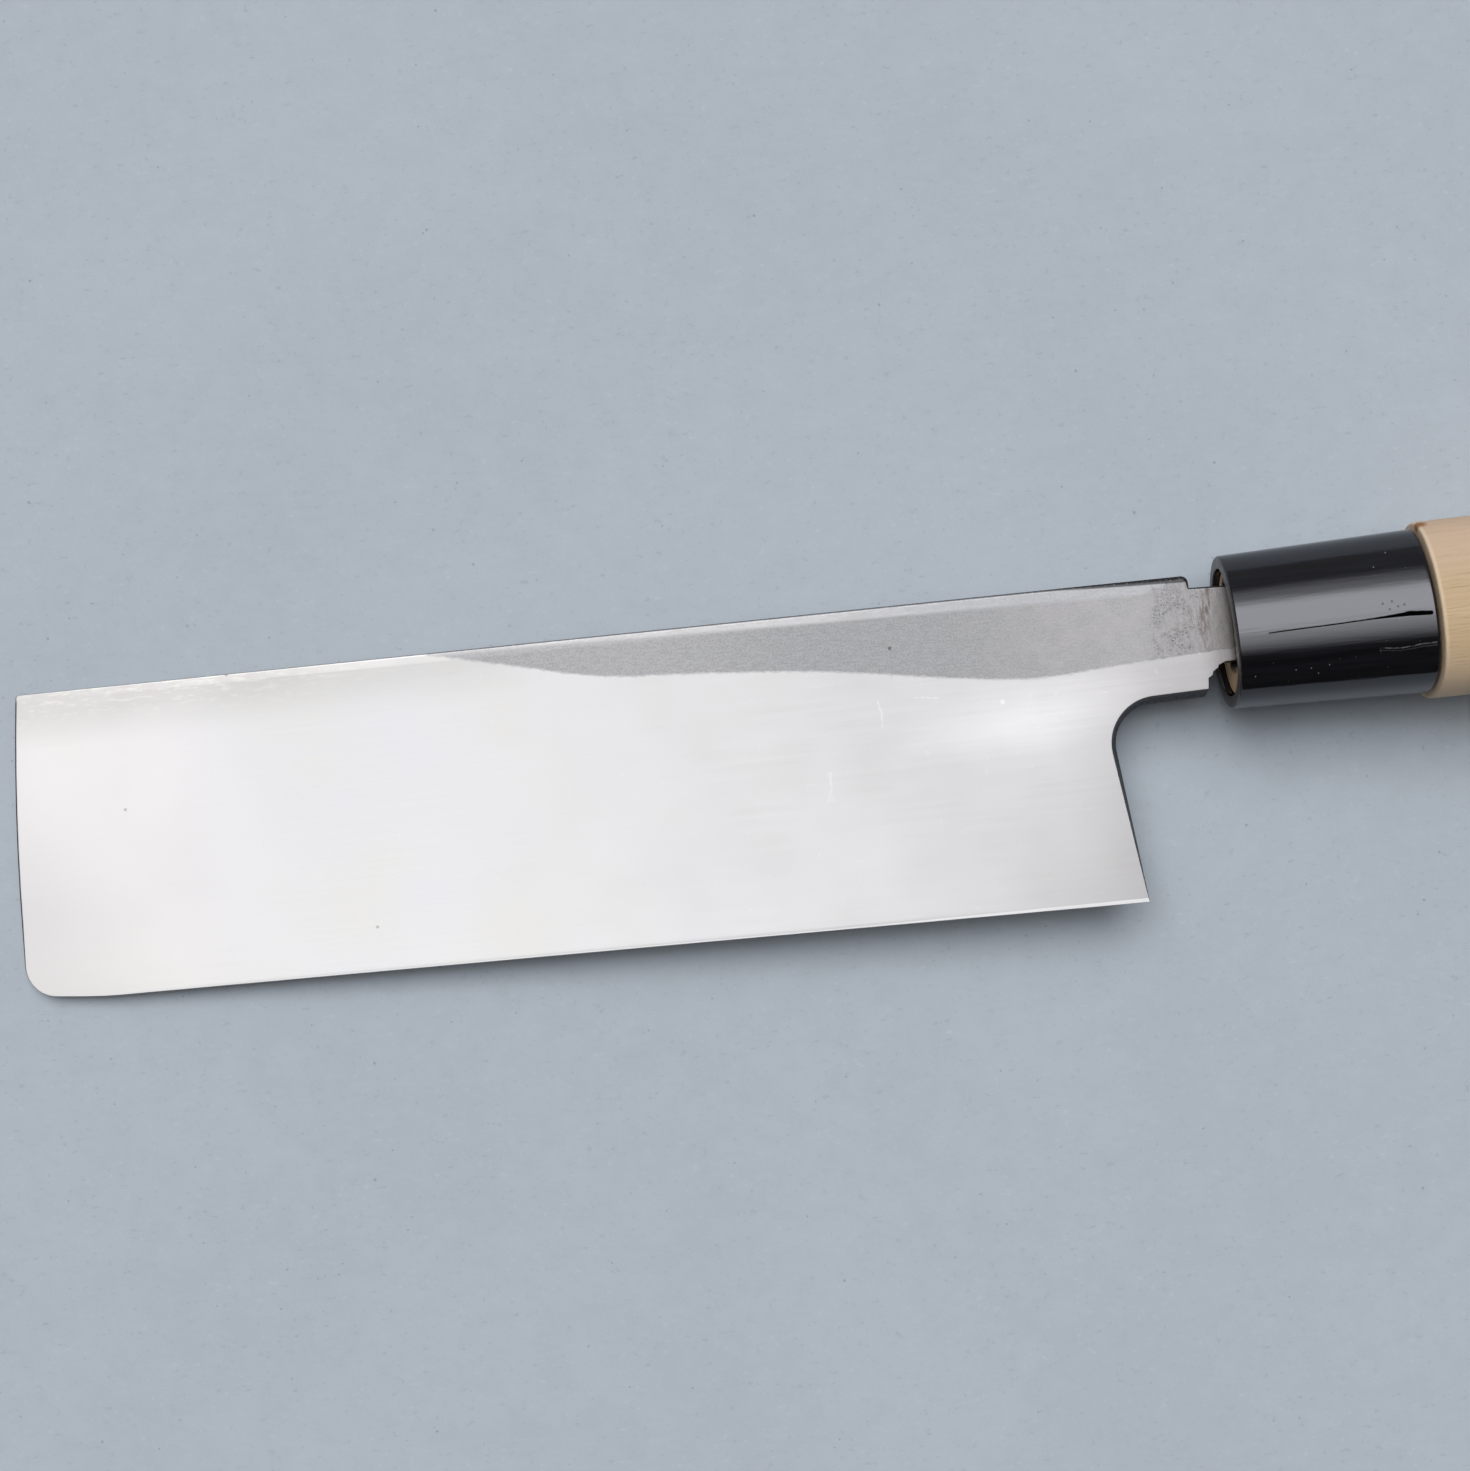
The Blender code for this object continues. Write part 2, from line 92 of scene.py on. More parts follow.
SPINE_WEAR = (0.33 * MM, -20.0 * MM, 15.0 * MM)  # more of it at the shoulder: how much, its start and run

# Hard steel layer
STEEL_DEPTH = (0.75 * MM, 1.15 * MM)  # at the tip end and the heel
STEEL_END = 0.9 * MM
# Weld line: (ahead of the collar, above the handle line)
WELD_LINE = in_mm((126.0, 12.6), (113.5, 9.4), (102.0, 6.6), (90.0, 3.8), (76.5, 2.7), (58.0, 0.9),
                  (41.0, -1.9), (28.0, -3.5), (14.5, -3.0), (0.9, -2.5))

# Tang
TANG_LENGTH = 86.0 * MM
TANG_TOP = 6.9 * MM
TANG_FOOT = 4.4 * MM
TANG_STEP = 1.0 * MM  # where the lower shoulder's steps reach the tang
TANG_THICKNESS = 3.4 * MM
TANG_END_TOP = 3.2 * MM
TANG_END_FOOT = 1.6 * MM
TANG_END_THICKNESS = 2.2 * MM
TANG_END_ROUND = 1.5 * MM

# Handle
HANDLE_AXIS_DROP = 2.0 * MM
COLLAR_LENGTH = 27.7 * MM
COLLAR_HEIGHT = (22.2 * MM, 23.6 * MM)  # at its front and at its rear
COLLAR_UP = (9.9 * MM, 10.3 * MM)
RIDGE_EXTRA = 0.1 * MM
RIDGE_SHARE = 0.32
RIDGE_PEAK = 1.0 * MM
RIDGE_REACH = 0.95
RIDGE_CURVE = 1.2
OVAL_POWER = 2.15
FULLNESS_UP = 0.18
FULLNESS_DOWN = 0.06
COLLAR_WALL = 1.9 * MM
COLLAR_ROUND = 0.45 * MM
BORE_ROUND = 0.25 * MM
# The cut groove in the collar's top, as (x, y)
GROOVE_LINE = in_mm((4.4, -1.0), (14.2, -0.8), (20.4, -0.6), (23.8, -0.52), (26.7, -0.68))
GROOVE_WIDENS = (0.58, 0.95)  # shares of its length between which it widens
GROOVE_WIDTH = (0.08 * MM, 0.33 * MM)  # half width, before and after that
GROOVE_DEPTH = (0.05 * MM, 0.34 * MM)
GROOVE_ENDS = (8, 20)  # how steeply it deepens from its two ends
GROOVE_RAGGED = 900  # how often it wavers, by metre
GROOVE_WAVERS = (0.4, 0.2)  # by how much of its width: the width, and its middle
HANDLE_LENGTH = 125.0 * MM
WOOD_PROUD = 0.9 * MM
WOOD_SWELL = 0.5 * MM
WOOD_ROUND = 0.45 * MM
BUTT_ROUND = 1.6 * MM
TENON_RECESS = 1.0 * MM
FIT = 0.3 * MM

# Fineness of the meshes
CORNER_STEP = math.radians(4)
BORDER_STEP = 0.7 * MM
GRID_STEP = 1.4 * MM
LINE_STEP = 2.0 * MM  # along the hollow's rims and the bevel's ridge
RIM_LINE_CLEAR = (4.0 * MM, 1.5 * MM)  # kept free at the ends of the rim along the edge
RIDGE_CLEAR = 1.0 * MM
NEARLY_STRAIGHT = 0.03  # sine of a bend that counts as none
WELD_STEPS = (16, 4)  # on each stretch of the weld line, in the mesh and in the materials
ROUND_STEPS = 6
HANDLE_ROUND_STEPS = 8
WALL_STEPS = 4
SUPPORT = 0.12 * MM  # strip beside a rounding or a ridge that keeps the faces beyond it flat
COLLAR_STEP = 0.35 * MM
BORE_STATION = 8.0 * MM
WOOD_STEP = 2.0 * MM
SMOOTH_ANGLE = math.radians(35)
CUT_MARGIN = 2.0 * MM

# Camera, from the handle line at the collar's front
CAMERA_OFFSET = Vector((-71.554, -6.958, 292.648)) * MM
CAMERA_TURN = math.radians(-6.34)
CAMERA_LENS = 50.0
CAMERA_SENSOR = 36.0

# Light by the slopes of its rays, run over rise
WINDOW_ALONG = ((-0.9, -0.42), (0.66, 0.28))  # along the knife: from dark to full at each end
SHOULDER = (-0.32, 0.24, 3.05)  # slopes where it rises, and how bright it gets
WINDOW = (0.18, 0.28, 1.9)  # the window's own part on top of the shoulder
WINDOW_END = (0.74, 1.12, -3.5)  # slopes where the window ends, and what is lost there
TAIL_END = (1.0, 2.0, -1.45)
LOWEST_RISE = 0.02  # of a ray, which keeps its slopes finite
ROOM_ENDS = (-0.4, 0.8)  # of a ray's part across the knife
ROOM_STRENGTH = (0.05, 0.22)  # of the room on the edge's side, and on the spine's
LIGHT_COLOUR = (0.98, 0.99, 1.0, 1.0)
FLOOR_SIZE = 6.0  # metres

# Colours, as the light's plain level shows them
STEEL_LIGHT = (0.636, 0.632, 0.646)
STEEL_CREAM = (0.648, 0.636, 0.618)
STEEL_DARK = (0.582, 0.576, 0.590)
STEEL_RUBBED = (0.520, 0.508, 0.498)
# Painted light: the steel made lighter towards the tip end
STEEL_TIP_PAINTED_LIGHT = (0.705, 0.674, 0.664)
STEEL_CORNER = (0.765, 0.750, 0.732)
STEEL_PINK = (0.500, 0.488, 0.492)
STEEL_NECK = (0.384, 0.372, 0.377)
STEEL_RIM = (0.700, 0.696, 0.702)
SCUFF_CREAM = (0.690, 0.668, 0.612)
SCUFF_PINK = (0.545, 0.500, 0.495)
IRON_LIGHT = (0.375, 0.374, 0.382)
IRON_DARK = (0.268, 0.268, 0.274)
IRON_PINK = (0.402, 0.385, 0.391)
IRON_PINK_SHADE = (0.322, 0.308, 0.313)
IRON_NECK = (0.318, 0.305, 0.310)
IRON_NECK_SHADE = (0.248, 0.236, 0.239)
IRON_BRIGHT = (0.450, 0.446, 0.460)
IRON_SHADE = (0.316, 0.308, 0.314)
IRON_RIM = (0.385, 0.384, 0.398)
STAIN_BROWN = (0.150, 0.122, 0.116)
TANG_SHADE = (0.090, 0.076, 0.066)
# Painted shade on the blade's walls and turned edges, with lighter grains in it
WALL_SHADE = (0.036, 0.035, 0.037)
WALL_LIGHT = (0.210, 0.205, 0.208)
HORN_DARK = (0.002, 0.002, 0.003)
HORN_SHEEN = (0.930, 0.930, 1.000)
HORN_LIGHT = (0.006, 0.006, 0.008)
HORN_SCRATCH = (0.110, 0.108, 0.108)
HORN_SPECK = (0.160, 0.160, 0.160)
HORN_END = (0.085, 0.072, 0.064)
WOOD_LIGHT = (0.545, 0.398, 0.238)
WOOD_DARK = (0.465, 0.328, 0.188)
# Painted sheen: a paler, bluer tone on the grip's upper side
WOOD_TOP_PAINTED_SHEEN = (0.512, 0.374, 0.300)
# Painted light: paler wood on the grip's lower side
WOOD_LOWER_PAINTED_LIGHT = (0.700, 0.518, 0.352)
# Painted light on the wood's front shoulder beside the collar
WOOD_FRONT_PAINTED_LIGHT = (0.800, 0.640, 0.460)
WOOD_GRIME = (0.070, 0.035, 0.018)
WOOD_ORANGE = (0.260, 0.105, 0.030)
# The tenon's light-brown wood, made brighter as painted light on its shaded face
TENON_WOOD_PAINTED_LIT = (0.780, 0.530, 0.310)
CHAR = (0.014, 0.009, 0.007)
FLOOR_LIGHT = (0.425, 0.470, 0.524)
FLOOR_DARK = (0.403, 0.445, 0.496)
FLOOR_PALE = (0.475, 0.515, 0.560)

# Finish
STEEL_ROUGHNESS = (0.46, 0.54)
IRON_ROUGHNESS = (0.51, 0.61)
HORN_ROUGHNESS = (0.07, 0.13)
HORN_IOR = 1.63
WOOD_ROUGHNESS = 0.62
FLOOR_ROUGHNESS = 0.8

# Tones of the blade, in millimetres of the knife's frame: where each begins and where it is full
PINK_ALONG = (-140.0, -30.0)
STEEL_NECK_ALONG = (-27.0, -6.0)
# Where the painted light towards the tip end begins and where it is full
TIP_LIGHT_ALONG = (-128.0, -165.0)
RUBBED_ALONG = (-96.0, -112.0)
RUBBED_BELOW = (9.0, 1.5)
SCUFFED_ALONG = (-112.0, -150.0)
SCUFFED_BELOW = (8.0, 0.5)
CORNER_ALONG = (-142.0, -166.0)
CORNER_ABOVE = (14.0, 2.0)
# Where the painted shade on the spine's turned edge begins, coming from the tip, and where it is full
SPINE_SHADE_ALONG = (-112.0, -100.0)
BRIGHT_ALONG = (-55.0, -88.0)
IRON_PINK_ALONG = (-42.0, -20.0)
IRON_NECK_ALONG = (-14.0, -5.0)
PITTED_ALONG = ((-11.5, -9.5), (-2.0, -4.0))  # from both sides

# Painted borders of the blade, in the same millimetres: two ends by x, and the sizes there
EDGE_RIM_ENDS = (-60.0, -18.0)
EDGE_RIM_HEIGHT = (0.22, 0.60)
RIM_ENDS = (-100.0, -20.0)  # of the polished rim under the spine
RIM_DEPTH = (0.60, 2.10)
# Painted shade that widens the spine's dark turned edge towards its shoulder
SHADE_WEDGE_ENDS = (-26.0, -5.0)  # of the spine's dark turned edge
SHADE_WEDGE_DEPTH = (0.30, 0.95)
WELD_SOFT = 0.28  # over which the weld line's edge fades

# Middle and half size of the charred slot round the tang, in the same millimetres
TANG_ACROSS = (1.1, 5.9)
TANG_THROUGH = (-1.7, 2.0)

# Marks of use, in millimetres of the knife's frame
STEEL_SCRATCHES = [
    ([(-50.3, -4.6), (-49.9, -6.7), (-50.1, -8.5)], 0.14),
    ([(-58.3, -14.1), (-58.4, -16.8), (-59.0, -18.1)], 0.12),
    ([(-44.9, -4.6), (-41.6, -5.0)], 0.10),
]
STEEL_DARK_SPOTS = [(-127.0, -29.1), (-162.5, -7.9), (-145.2, 10.2)]
STEEL_LIGHT_SPOTS = [(-32.7, -6.4)]
IRON_DARK_SPOTS = [(-48.0, 3.1)]
TANG_STAIN = [(-2.1, 6.3), (-2.9, 2.1), (-2.9, -3.0)]
COLLAR_SCRATCH = [(19.4, -5.5), (19.3, -4.8), (22.3, -5.1), (24.3, -4.9), (27.1, -4.8)]
COLLAR_SPECKS = [(22.4, 8.5), (20.2, 6.6), (7.7, -6.5), (9.8, -6.5), (10.8, -7.3), (12.3, -6.3), (2.1, -6.8)]
COLLAR_PITS = [(20.4, 1.3), (21.7, 1.5), (22.4, 0.7), (23.3, 0.9), (21.2, 0.4)]
WOOD_CHIP = (28.4, 11.9, 1.0)


def knife_frame():
    """Matrix from the knife's frame to the world, read from the mount at the handle's butt."""
    butt = next(m for m in frame["record"]["mounts"] if m["name"] == "butt")
    along = Vector(butt["axis"]).normalized()
    across = Vector((0, 1, 0))
    up = along.cross(across).normalized()
    origin = Vector(butt["pos_m"]) - along * HANDLE_LENGTH + up * HANDLE_AXIS_DROP
    turn = Matrix((along, across, up)).transposed()
    return Matrix.Translation(origin) @ turn.to_4x4()


KNIFE = knife_frame()


def mix(a, b, share):
    return a + (b - a) * share


def clamp(value):
    return min(1.0, max(0.0, value))


def smooth(value):
    value = clamp(value)
    return value * value * (3 - 2 * value)


def tan_of(degrees):
    return math.tan(math.radians(degrees))


def stations(start, end, step):
    """Even places from start to end, about a step apart."""
    count = max(1, round((end - start) / step))
    return [mix(start, end, k / count) for k in range(count + 1)]


# Outline of the blade

def line_point(start, degrees, run):
    return Vector((start[0] + run, start[1] - run * tan_of(degrees)))


def spine_y(x):
    return line_point((-SPINE_SHOULDER, SPINE_RISE), SPINE_ANGLE, x + SPINE_SHOULDER).y


def edge_y(x):
    return line_point((-HEEL_AHEAD, -HEEL_DROP), EDGE_ANGLE, x + HEEL_AHEAD).y


def heel_x(y):
    return -HEEL_AHEAD - (y + HEEL_DROP) * tan_of(HEEL_LEAN)


TIP_X = -HEEL_AHEAD - EDGE_LENGTH * math.cos(math.radians(EDGE_ANGLE))
TIP = Vector((TIP_X, edge_y(TIP_X)))


def meet(a, towards_a, b, towards_b):
    gap = b - a
    cross = towards_a.x * towards_b.y - towards_a.y * towards_b.x
    return a + towards_a * ((gap.x * towards_b.y - gap.y * towards_b.x) / cross)


def along_blade(x):
    """0 at the tip end, 1 at the spine's shoulder."""
    return clamp((x - TIP.x) / (-SPINE_SHOULDER - TIP.x))


def thickness_at(x):
    if x >= 0:
        return mix(TANG_THICKNESS, TANG_END_THICKNESS, x / TANG_LENGTH)
    if x >= -SPINE_SHOULDER:
        return mix(TANG_THICKNESS, SPINE_THICKNESS, -x / SPINE_SHOULDER)
    return mix(TIP_THICKNESS, SPINE_THICKNESS, along_blade(x))


def bottom_height(x, y):
    """Height of the hidden side: flat under the spine, sloping up to the cutting edge."""
    thickness = thickness_at(x)
    slope = (thickness - EDGE_LAND) / BEVEL_HEIGHT
    return -min(thickness, EDGE_LAND + slope * max(0.0, y - edge_y(x)))


def spine_corner(x):
    extra, start, run = SPINE_WEAR
    return mix(*SPINE_CORNER, along_blade(x)) + extra * smooth((x - start) / run)


def hollow_span(x):
    """Lowest and highest y of the hollow at x, inside the flat rims."""
    share = along_blade(x)
    high = spine_y(x) - spine_corner(x) - mix(*SPINE_RIM, share)
    return edge_y(x) + mix(*EDGE_RIM, share), high


def hollow_end(y):
    """x where the hollow ends towards the handle: on the neck, or at the heel's flat rim."""
    share = smooth((y + NECK_DROP + NOTCH_RADIUS) / (NOTCH_RADIUS + NECK_DROP / 2))
    return mix(heel_x(y) - RIM_AT_HEEL, -HOLLOW_BACK, share)


def top_height(x, y):
    """Height of the side facing up: flat rims along a shallow hollow that fades at both ends."""
    low, high = hollow_span(x)
    across = 1 - ((2 * y - low - high) / (high - low)) ** 2
    front = smooth((x - TIP.x - RIM_AT_TIP) / HOLLOW_RUNOUT[0])
    back = smooth((hollow_end(y) - x) / HOLLOW_RUNOUT[1])
    return -HOLLOW_DEPTH * max(0.0, across) * front * back


def rim_lines():
    """The hollow's lines with the rims under the spine and along the edge."""
    spine = stations(TIP.x + TIP_CORNER, -HOLLOW_BACK, LINE_STEP)
    edge = stations(TIP.x + TIP_LIFT + RIM_LINE_CLEAR[0],
                    heel_x(edge_y(-HEEL_AHEAD)) - RIM_LINE_CLEAR[1], LINE_STEP)
    return [[Vector((x, hollow_span(x)[i])) for x in xs] for i, xs in ((1, spine), (0, edge))]


# How one stretch of the outline is finished: its two roundings and the lean of its wall
Side = namedtuple("Side", "top bottom draft", defaults=(0.0,))


def side(name, point):
    """Finish of a named stretch at a point, with its roundings kept under a third of the wall."""
    corner = spine_corner(point.x)
    up = clamp((point.y - TANG_TOP) / (SPINE_RISE - TANG_TOP))
    finish = {
        "tip": Side(0.34 * MM, 0.15 * MM),
        "edge": Side(0.04 * MM, 0.04 * MM),
        "heel": Side(0.12 * MM, 0.08 * MM, NOTCH_DRAFT),
        "neck": Side(0.12 * MM, 0.10 * MM, NOTCH_DRAFT),
        "step": Side(0.06 * MM, 0.06 * MM),
        "tang": Side(0.30 * MM, 0.30 * MM),
        "shoulder": Side(mix(0.30 * MM, corner, up), 0.5 * MM),
        "spine": Side(corner, 0.5 * MM),
    }[name]
    most = -bottom_height(*point) * 0.3
    return Side(min(finish.top, most), min(finish.bottom, most), finish.draft)


def outline_corners():
    """Corners of the blade, anticlockwise: (point, radius, name of the stretch that follows)."""
    top_x = TIP.x + TIP_TOP_BACK
    top = Vector((top_x, spine_y(top_x)))
    worn = Vector((TIP.x + TIP_LIFT, edge_y(TIP.x + TIP_LIFT)))
    worn_foot = line_point(worn, EDGE_ANGLE + TIP_LIFT_ANGLE, -TIP_LIFT)
    lean, rise = math.radians(HEEL_LEAN), math.radians(NECK_ANGLE)
    heel = Vector((-HEEL_AHEAD, -HEEL_DROP))
    neck = Vector((-NECK_SHOULDER, -NECK_DROP))
    corner = meet(heel, Vector((-math.sin(lean), math.cos(lean))), neck,
                  Vector((math.cos(rise), math.sin(rise))))
    bow_steps = 8
    corners = [(top, TIP_TOP_ROUND, "tip")]
    for k in range(1, bow_steps):
        share = k / bow_steps
        bulge = TIP_BOW * 4 * share * (1 - share)
        corners.append((top.lerp(TIP, share) - Vector((bulge, 0)), 0, "tip"))
    corners += [
        (worn_foot, TIP_CORNER, "edge"),
        (worn, TIP_LIFT_ROUND, "edge"),
        (heel, 0, "heel"),
        (corner, NOTCH_RADIUS, "neck"),
        (neck, 0, "step"),
    ]
    corners += [(Vector((-ahead, -below)), 0, "step") for ahead, below in LOWER_STEPS]
    corners += [
        (Vector((-TANG_STEP, -TANG_FOOT)), 0, "tang"),
        (Vector((TANG_LENGTH, -TANG_END_FOOT)), TANG_END_ROUND, "tang"),
        (Vector((TANG_LENGTH, TANG_END_TOP)), TANG_END_ROUND, "tang"),
        (Vector((-SPINE_SHOULDER, TANG_TOP)), 0, "shoulder"),
        (Vector((-SPINE_SHOULDER, SPINE_RISE)), SHOULDER_ROUND, "spine"),
    ]
    return corners


def outline_border():
    """Outline points, each with the finish of the stretch before it and of the one after it."""
    corners = outline_corners()
    border = []
    for i, (corner, radius, after_name) in enumerate(corners):
        before_name = corners[i - 1][2]
        before = (corners[i - 1][0] - corner).normalized()
        after = (corners[(i + 1) % len(corners)][0] - corner).normalized()
        if radius <= 0:
            border.append((corner, side(before_name, corner), side(after_name, corner)))
            continue
        half = before.angle(after) / 2
        centre = corner + (before + after).normalized() * radius / math.sin(half)
        start = corner + before * radius / math.tan(half) - centre
        end = corner + after * radius / math.tan(half) - centre
        turn = math.pi - 2 * half
        if start.x * end.y - start.y * end.x < 0:
            turn = -turn
        steps = max(2, math.ceil(abs(turn) / CORNER_STEP))
        for k in range(steps + 1):
            c, s = math.cos(turn * k / steps), math.sin(turn * k / steps)
            spot = centre + Vector((start.x * c - start.y * s, start.x * s + start.y * c))
            ends = zip(side(before_name, spot), side(after_name, spot))
            finish = Side(*(mix(a, b, k / steps) for a, b in ends))
            border.append((spot, finish, finish))
    return spread(border, corners)


def spread(border, corners):
    """Adds points along the straight stretches, so that none is longer than the border step."""
    full = []
    for point, following in zip(border, border[1:] + border[:1]):
        full.append(point)
        pieces = math.ceil((following[0] - point[0]).length / BORDER_STEP)
        for k in range(1, pieces):
            between = point[0].lerp(following[0], k / pieces)
            finish = side(stretch_name(between, corners), between)
            full.append((between, finish, finish))
    return full


def stretch_name(spot, corners):
    """Name of the stretch whose straight line passes nearest to a point."""
    def distance(i):
        a, b = corners[i][0], corners[(i + 1) % len(corners)][0]
        share = clamp((spot - a).dot(b - a) / (b - a).length_squared)
        return (spot - a.lerp(b, share)).length
    return corners[min(range(len(corners)), key=distance)][2]


def moved_in(border, i, before, after):
    """Outline point i moved into the blade by a distance from the side before it and after it."""
    spot = border[i][0]
    run_before = (spot - border[i - 1][0]).normalized()
    run_after = (border[(i + 1) % len(border)][0] - spot).normalized()
    a = Vector((run_before.y, -run_before.x))
    b = Vector((run_after.y, -run_after.x))
    cross = a.x * b.y - a.y * b.x
    if abs(cross) < NEARLY_STRAIGHT:
        return spot - (a + b).normalized() * (before + after) / 2
    return spot - Vector(((before * b.y - after * a.y) / cross, (a.x * after - b.x * before) / cross))


# Meshes

def quarter(steps=ROUND_STEPS):
    """(inset, drop) of a rounding of radius 1, from the face to the wall."""
    turns = [math.radians(90 * (1 - k / steps)) for k in range(steps + 1)]
    return [(1 - math.cos(turn), 1 - math.sin(turn)) for turn in turns]


def blade_loops(border):
    """Closed loops round the blade, from its upper face down over its wall to the hidden side."""
    levels = [(1.0, 0.0, SUPPORT)] + [(inset, drop, 0.0) for inset, drop in quarter()]
    columns = []
    for i, (spot, before, after) in enumerate(border):
        top_depth = (before.top + after.top) / 2
        bottom_depth = (before.bottom + after.bottom) / 2
        wall = -bottom_height(*spot) - top_depth - bottom_depth
        lean_before, lean_after = tan_of(before.draft), tan_of(after.draft)
        column = []
        for inset, drop, extra in levels:
            p = moved_in(border, i, before.top * inset + extra, after.top * inset + extra)
            column.append(Vector((*p, top_height(*p) - top_depth * drop)))
        high = column[-1].z
        for k in range(1, WALL_STEPS):
            down = wall * k / WALL_STEPS
            p = moved_in(border, i, -lean_before * down, -lean_after * down)
            low = bottom_height(*p) + bottom_depth
            column.append(Vector((*p, mix(high, low, k / WALL_STEPS))))
        for inset, drop, extra in reversed(levels):
            p = moved_in(border, i, before.bottom * inset + extra - lean_before * wall,
                         after.bottom * inset + extra - lean_after * wall)
            column.append(Vector((*p, bottom_height(*p) + bottom_depth * drop)))
        columns.append(column)
    return list(zip(*columns))


def join_rings(bm, ring, following):
    for i in range(len(ring)):
        j = (i + 1) % len(ring)
        bm.faces.new((ring[i], ring[j], following[j], following[i]))


def join_loops(bm, loops):
    """Faces between loops of as many points each; returns the first and last loop's vertices."""
    rings = [[bm.verts.new(point) for point in loop] for loop in loops]
    for ring, following in zip(rings, rings[1:]):
        join_rings(bm, ring, following)
    return rings[0], rings[-1]


def closed_tube(name, loops):
    """Object of joined loops, with a face over each end."""
    bm = bmesh.new()
    for end in join_loops(bm, loops):
        bm.faces.new(end)
    return new_object(name, bm)


def inside(points, ring):
    """Which points lie inside a ring."""
    a, b = ring, np.roll(ring, -1, 0)
    y = points[:, None, 1]
    crosses = (a[:, 1] > y) != (b[:, 1] > y)
    rise = np.where(b[:, 1] == a[:, 1], 1.0, b[:, 1] - a[:, 1])
    x = a[:, 0] + (y - a[:, 1]) * (b[:, 0] - a[:, 0]) / rise
    return (crosses & (points[:, None, 0] < x)).sum(1) % 2 == 1


def distance_to(points, line):
    """Distance of each point to a line through points."""
    a = line[:-1]
    run = line[1:] - a
    share = ((points[:, None] - a) * run).sum(2) / (run ** 2).sum(1)
    nearest = a + np.clip(share, 0, 1)[:, :, None] * run
    return np.sqrt(((points[:, None] - nearest) ** 2).sum(2)).min(1)


def fill(bm, loop, lines, height, step=GRID_STEP):
    """Fills a loop of vertices with a surface z = height(x, y) whose edges follow some lines."""
    ring = np.array([v.co.xy for v in loop])
    low, high = ring.min(0), ring.max(0)
    columns, rows = (int(size / step) + 1 for size in high - low)
    grid = np.array([(low[0] + row % 2 * step / 2 + column * step, low[1] + row * step)
                     for row in range(rows) for column in range(columns)])
    keep = inside(grid, ring) & (distance_to(grid, np.vstack((ring, ring[:1]))) > step / 2)
    for line in lines:
        keep &= distance_to(grid, np.array([tuple(p) for p in line])) > step / 2
    coords = [Vector(p) for p in ring]
    edges = [(i, (i + 1) % len(ring)) for i in range(len(ring))]
    for line in lines:
        first = len(coords)
        coords += line
        edges += [(first + i, first + i + 1) for i in range(len(line) - 1)]
    coords += [Vector(p) for p in grid[keep]]
    found, _, triangles, origins, _, _ = delaunay_2d_cdt(coords, edges, [], 1, 1e-7)
    vertices = []
    for spot, origin in zip(found, origins):
        if origin and min(origin) < len(ring):
            vertices.append(loop[min(origin)])
        else:
            vertices.append(bm.verts.new((*spot, height(*spot))))
    for triangle in triangles:
        bm.faces.new([vertices[i] for i in triangle])


def offset_line(line, distance):
    """A line moved sideways, to the left of its run."""
    moved = []
    for i, spot in enumerate(line):
        run = (line[min(i + 1, len(line) - 1)] - line[max(i - 1, 0)]).normalized()
        moved.append(spot + Vector((-run.y, run.x)) * distance)
    return moved


def ridge_line():
    """Where the bevel of the hidden side meets the flat above it."""
    start = TIP.x + TIP_TOP_BACK / 2 + RIDGE_CLEAR
    end = heel_x(edge_y(-HEEL_AHEAD) + BEVEL_HEIGHT) - RIDGE_CLEAR
    return [Vector((x, edge_y(x) + BEVEL_HEIGHT)) for x in stations(start, end, LINE_STEP)]


def add_object(name, data):
    obj = bpy.data.objects.new(name, data)
    bpy.context.scene.collection.objects.link(obj)
    return obj


def new_object(name, bm):
    bmesh.ops.recalc_face_normals(bm, faces=bm.faces)
    mesh = bpy.data.meshes.new(name)
    bm.to_mesh(mesh)
    bm.free()
    return add_object(name, mesh)


def blade_blank():
    bm = bmesh.new()
    top, bottom = join_loops(bm, blade_loops(outline_border()))
    sides = (-SUPPORT, 0.0, SUPPORT)
    fill(bm, top, [offset_line(line, d) for line in rim_lines() for d in sides], top_height)
    fill(bm, bottom, [offset_line(ridge_line(), d) for d in sides], bottom_height)
    return new_object("blade_blank", bm)


def smooth_line(points, steps):
    points = [Vector((x, y, 0)) for x, y in points]
    line = []
    for i in range(len(points) - 1):
        a, b = points[i], points[i + 1]
        leave = (b - points[max(i - 1, 0)]) / 6
        reach = (points[min(i + 2, len(points) - 1)] - a) / 6
        line += interpolate_bezier(a, a + leave, b - reach, b, steps)[:-1]
    return line + [points[-1]]


def weld_line(steps):
    return smooth_line([(-ahead, above) for ahead, above in WELD_LINE], steps)


def steel_block():
    """Block that holds the hard steel: under the weld line and down to the layers' border."""
    line = weld_line(WELD_STEPS[0])
    front_x, floor_y = TIP.x - CUT_MARGIN * 2, -HEEL_DROP - CUT_MARGIN * 3
    border = [Vector((p.x, p.y)) for p in line[:-1]]
    border += [Vector(p) for p in ((-STEEL_END, line[-1].y), (-STEEL_END, floor_y),
                                   (front_x, floor_y), (front_x, line[0].y))]

    def depth(x):
        return mix(*STEEL_DEPTH, (x - TIP.x) / (-HEEL_AHEAD - TIP.x))

    return closed_tube("steel_block", [[(*p, CUT_MARGIN) for p in border],
                                       [(*p, -depth(p.x)) for p in border]])


def boolean(name, obj, cutter, operation):
    """New object: obj cut by a cutter."""
    modifier = obj.modifiers.new("cut", "BOOLEAN")
    modifier.operation = operation
    modifier.solver = "EXACT"
    modifier.object = cutter
    graph = bpy.context.evaluated_depsgraph_get()
    mesh = bpy.data.meshes.new_from_object(obj.evaluated_get(graph))
    obj.modifiers.remove(modifier)
    return add_object(name, mesh)


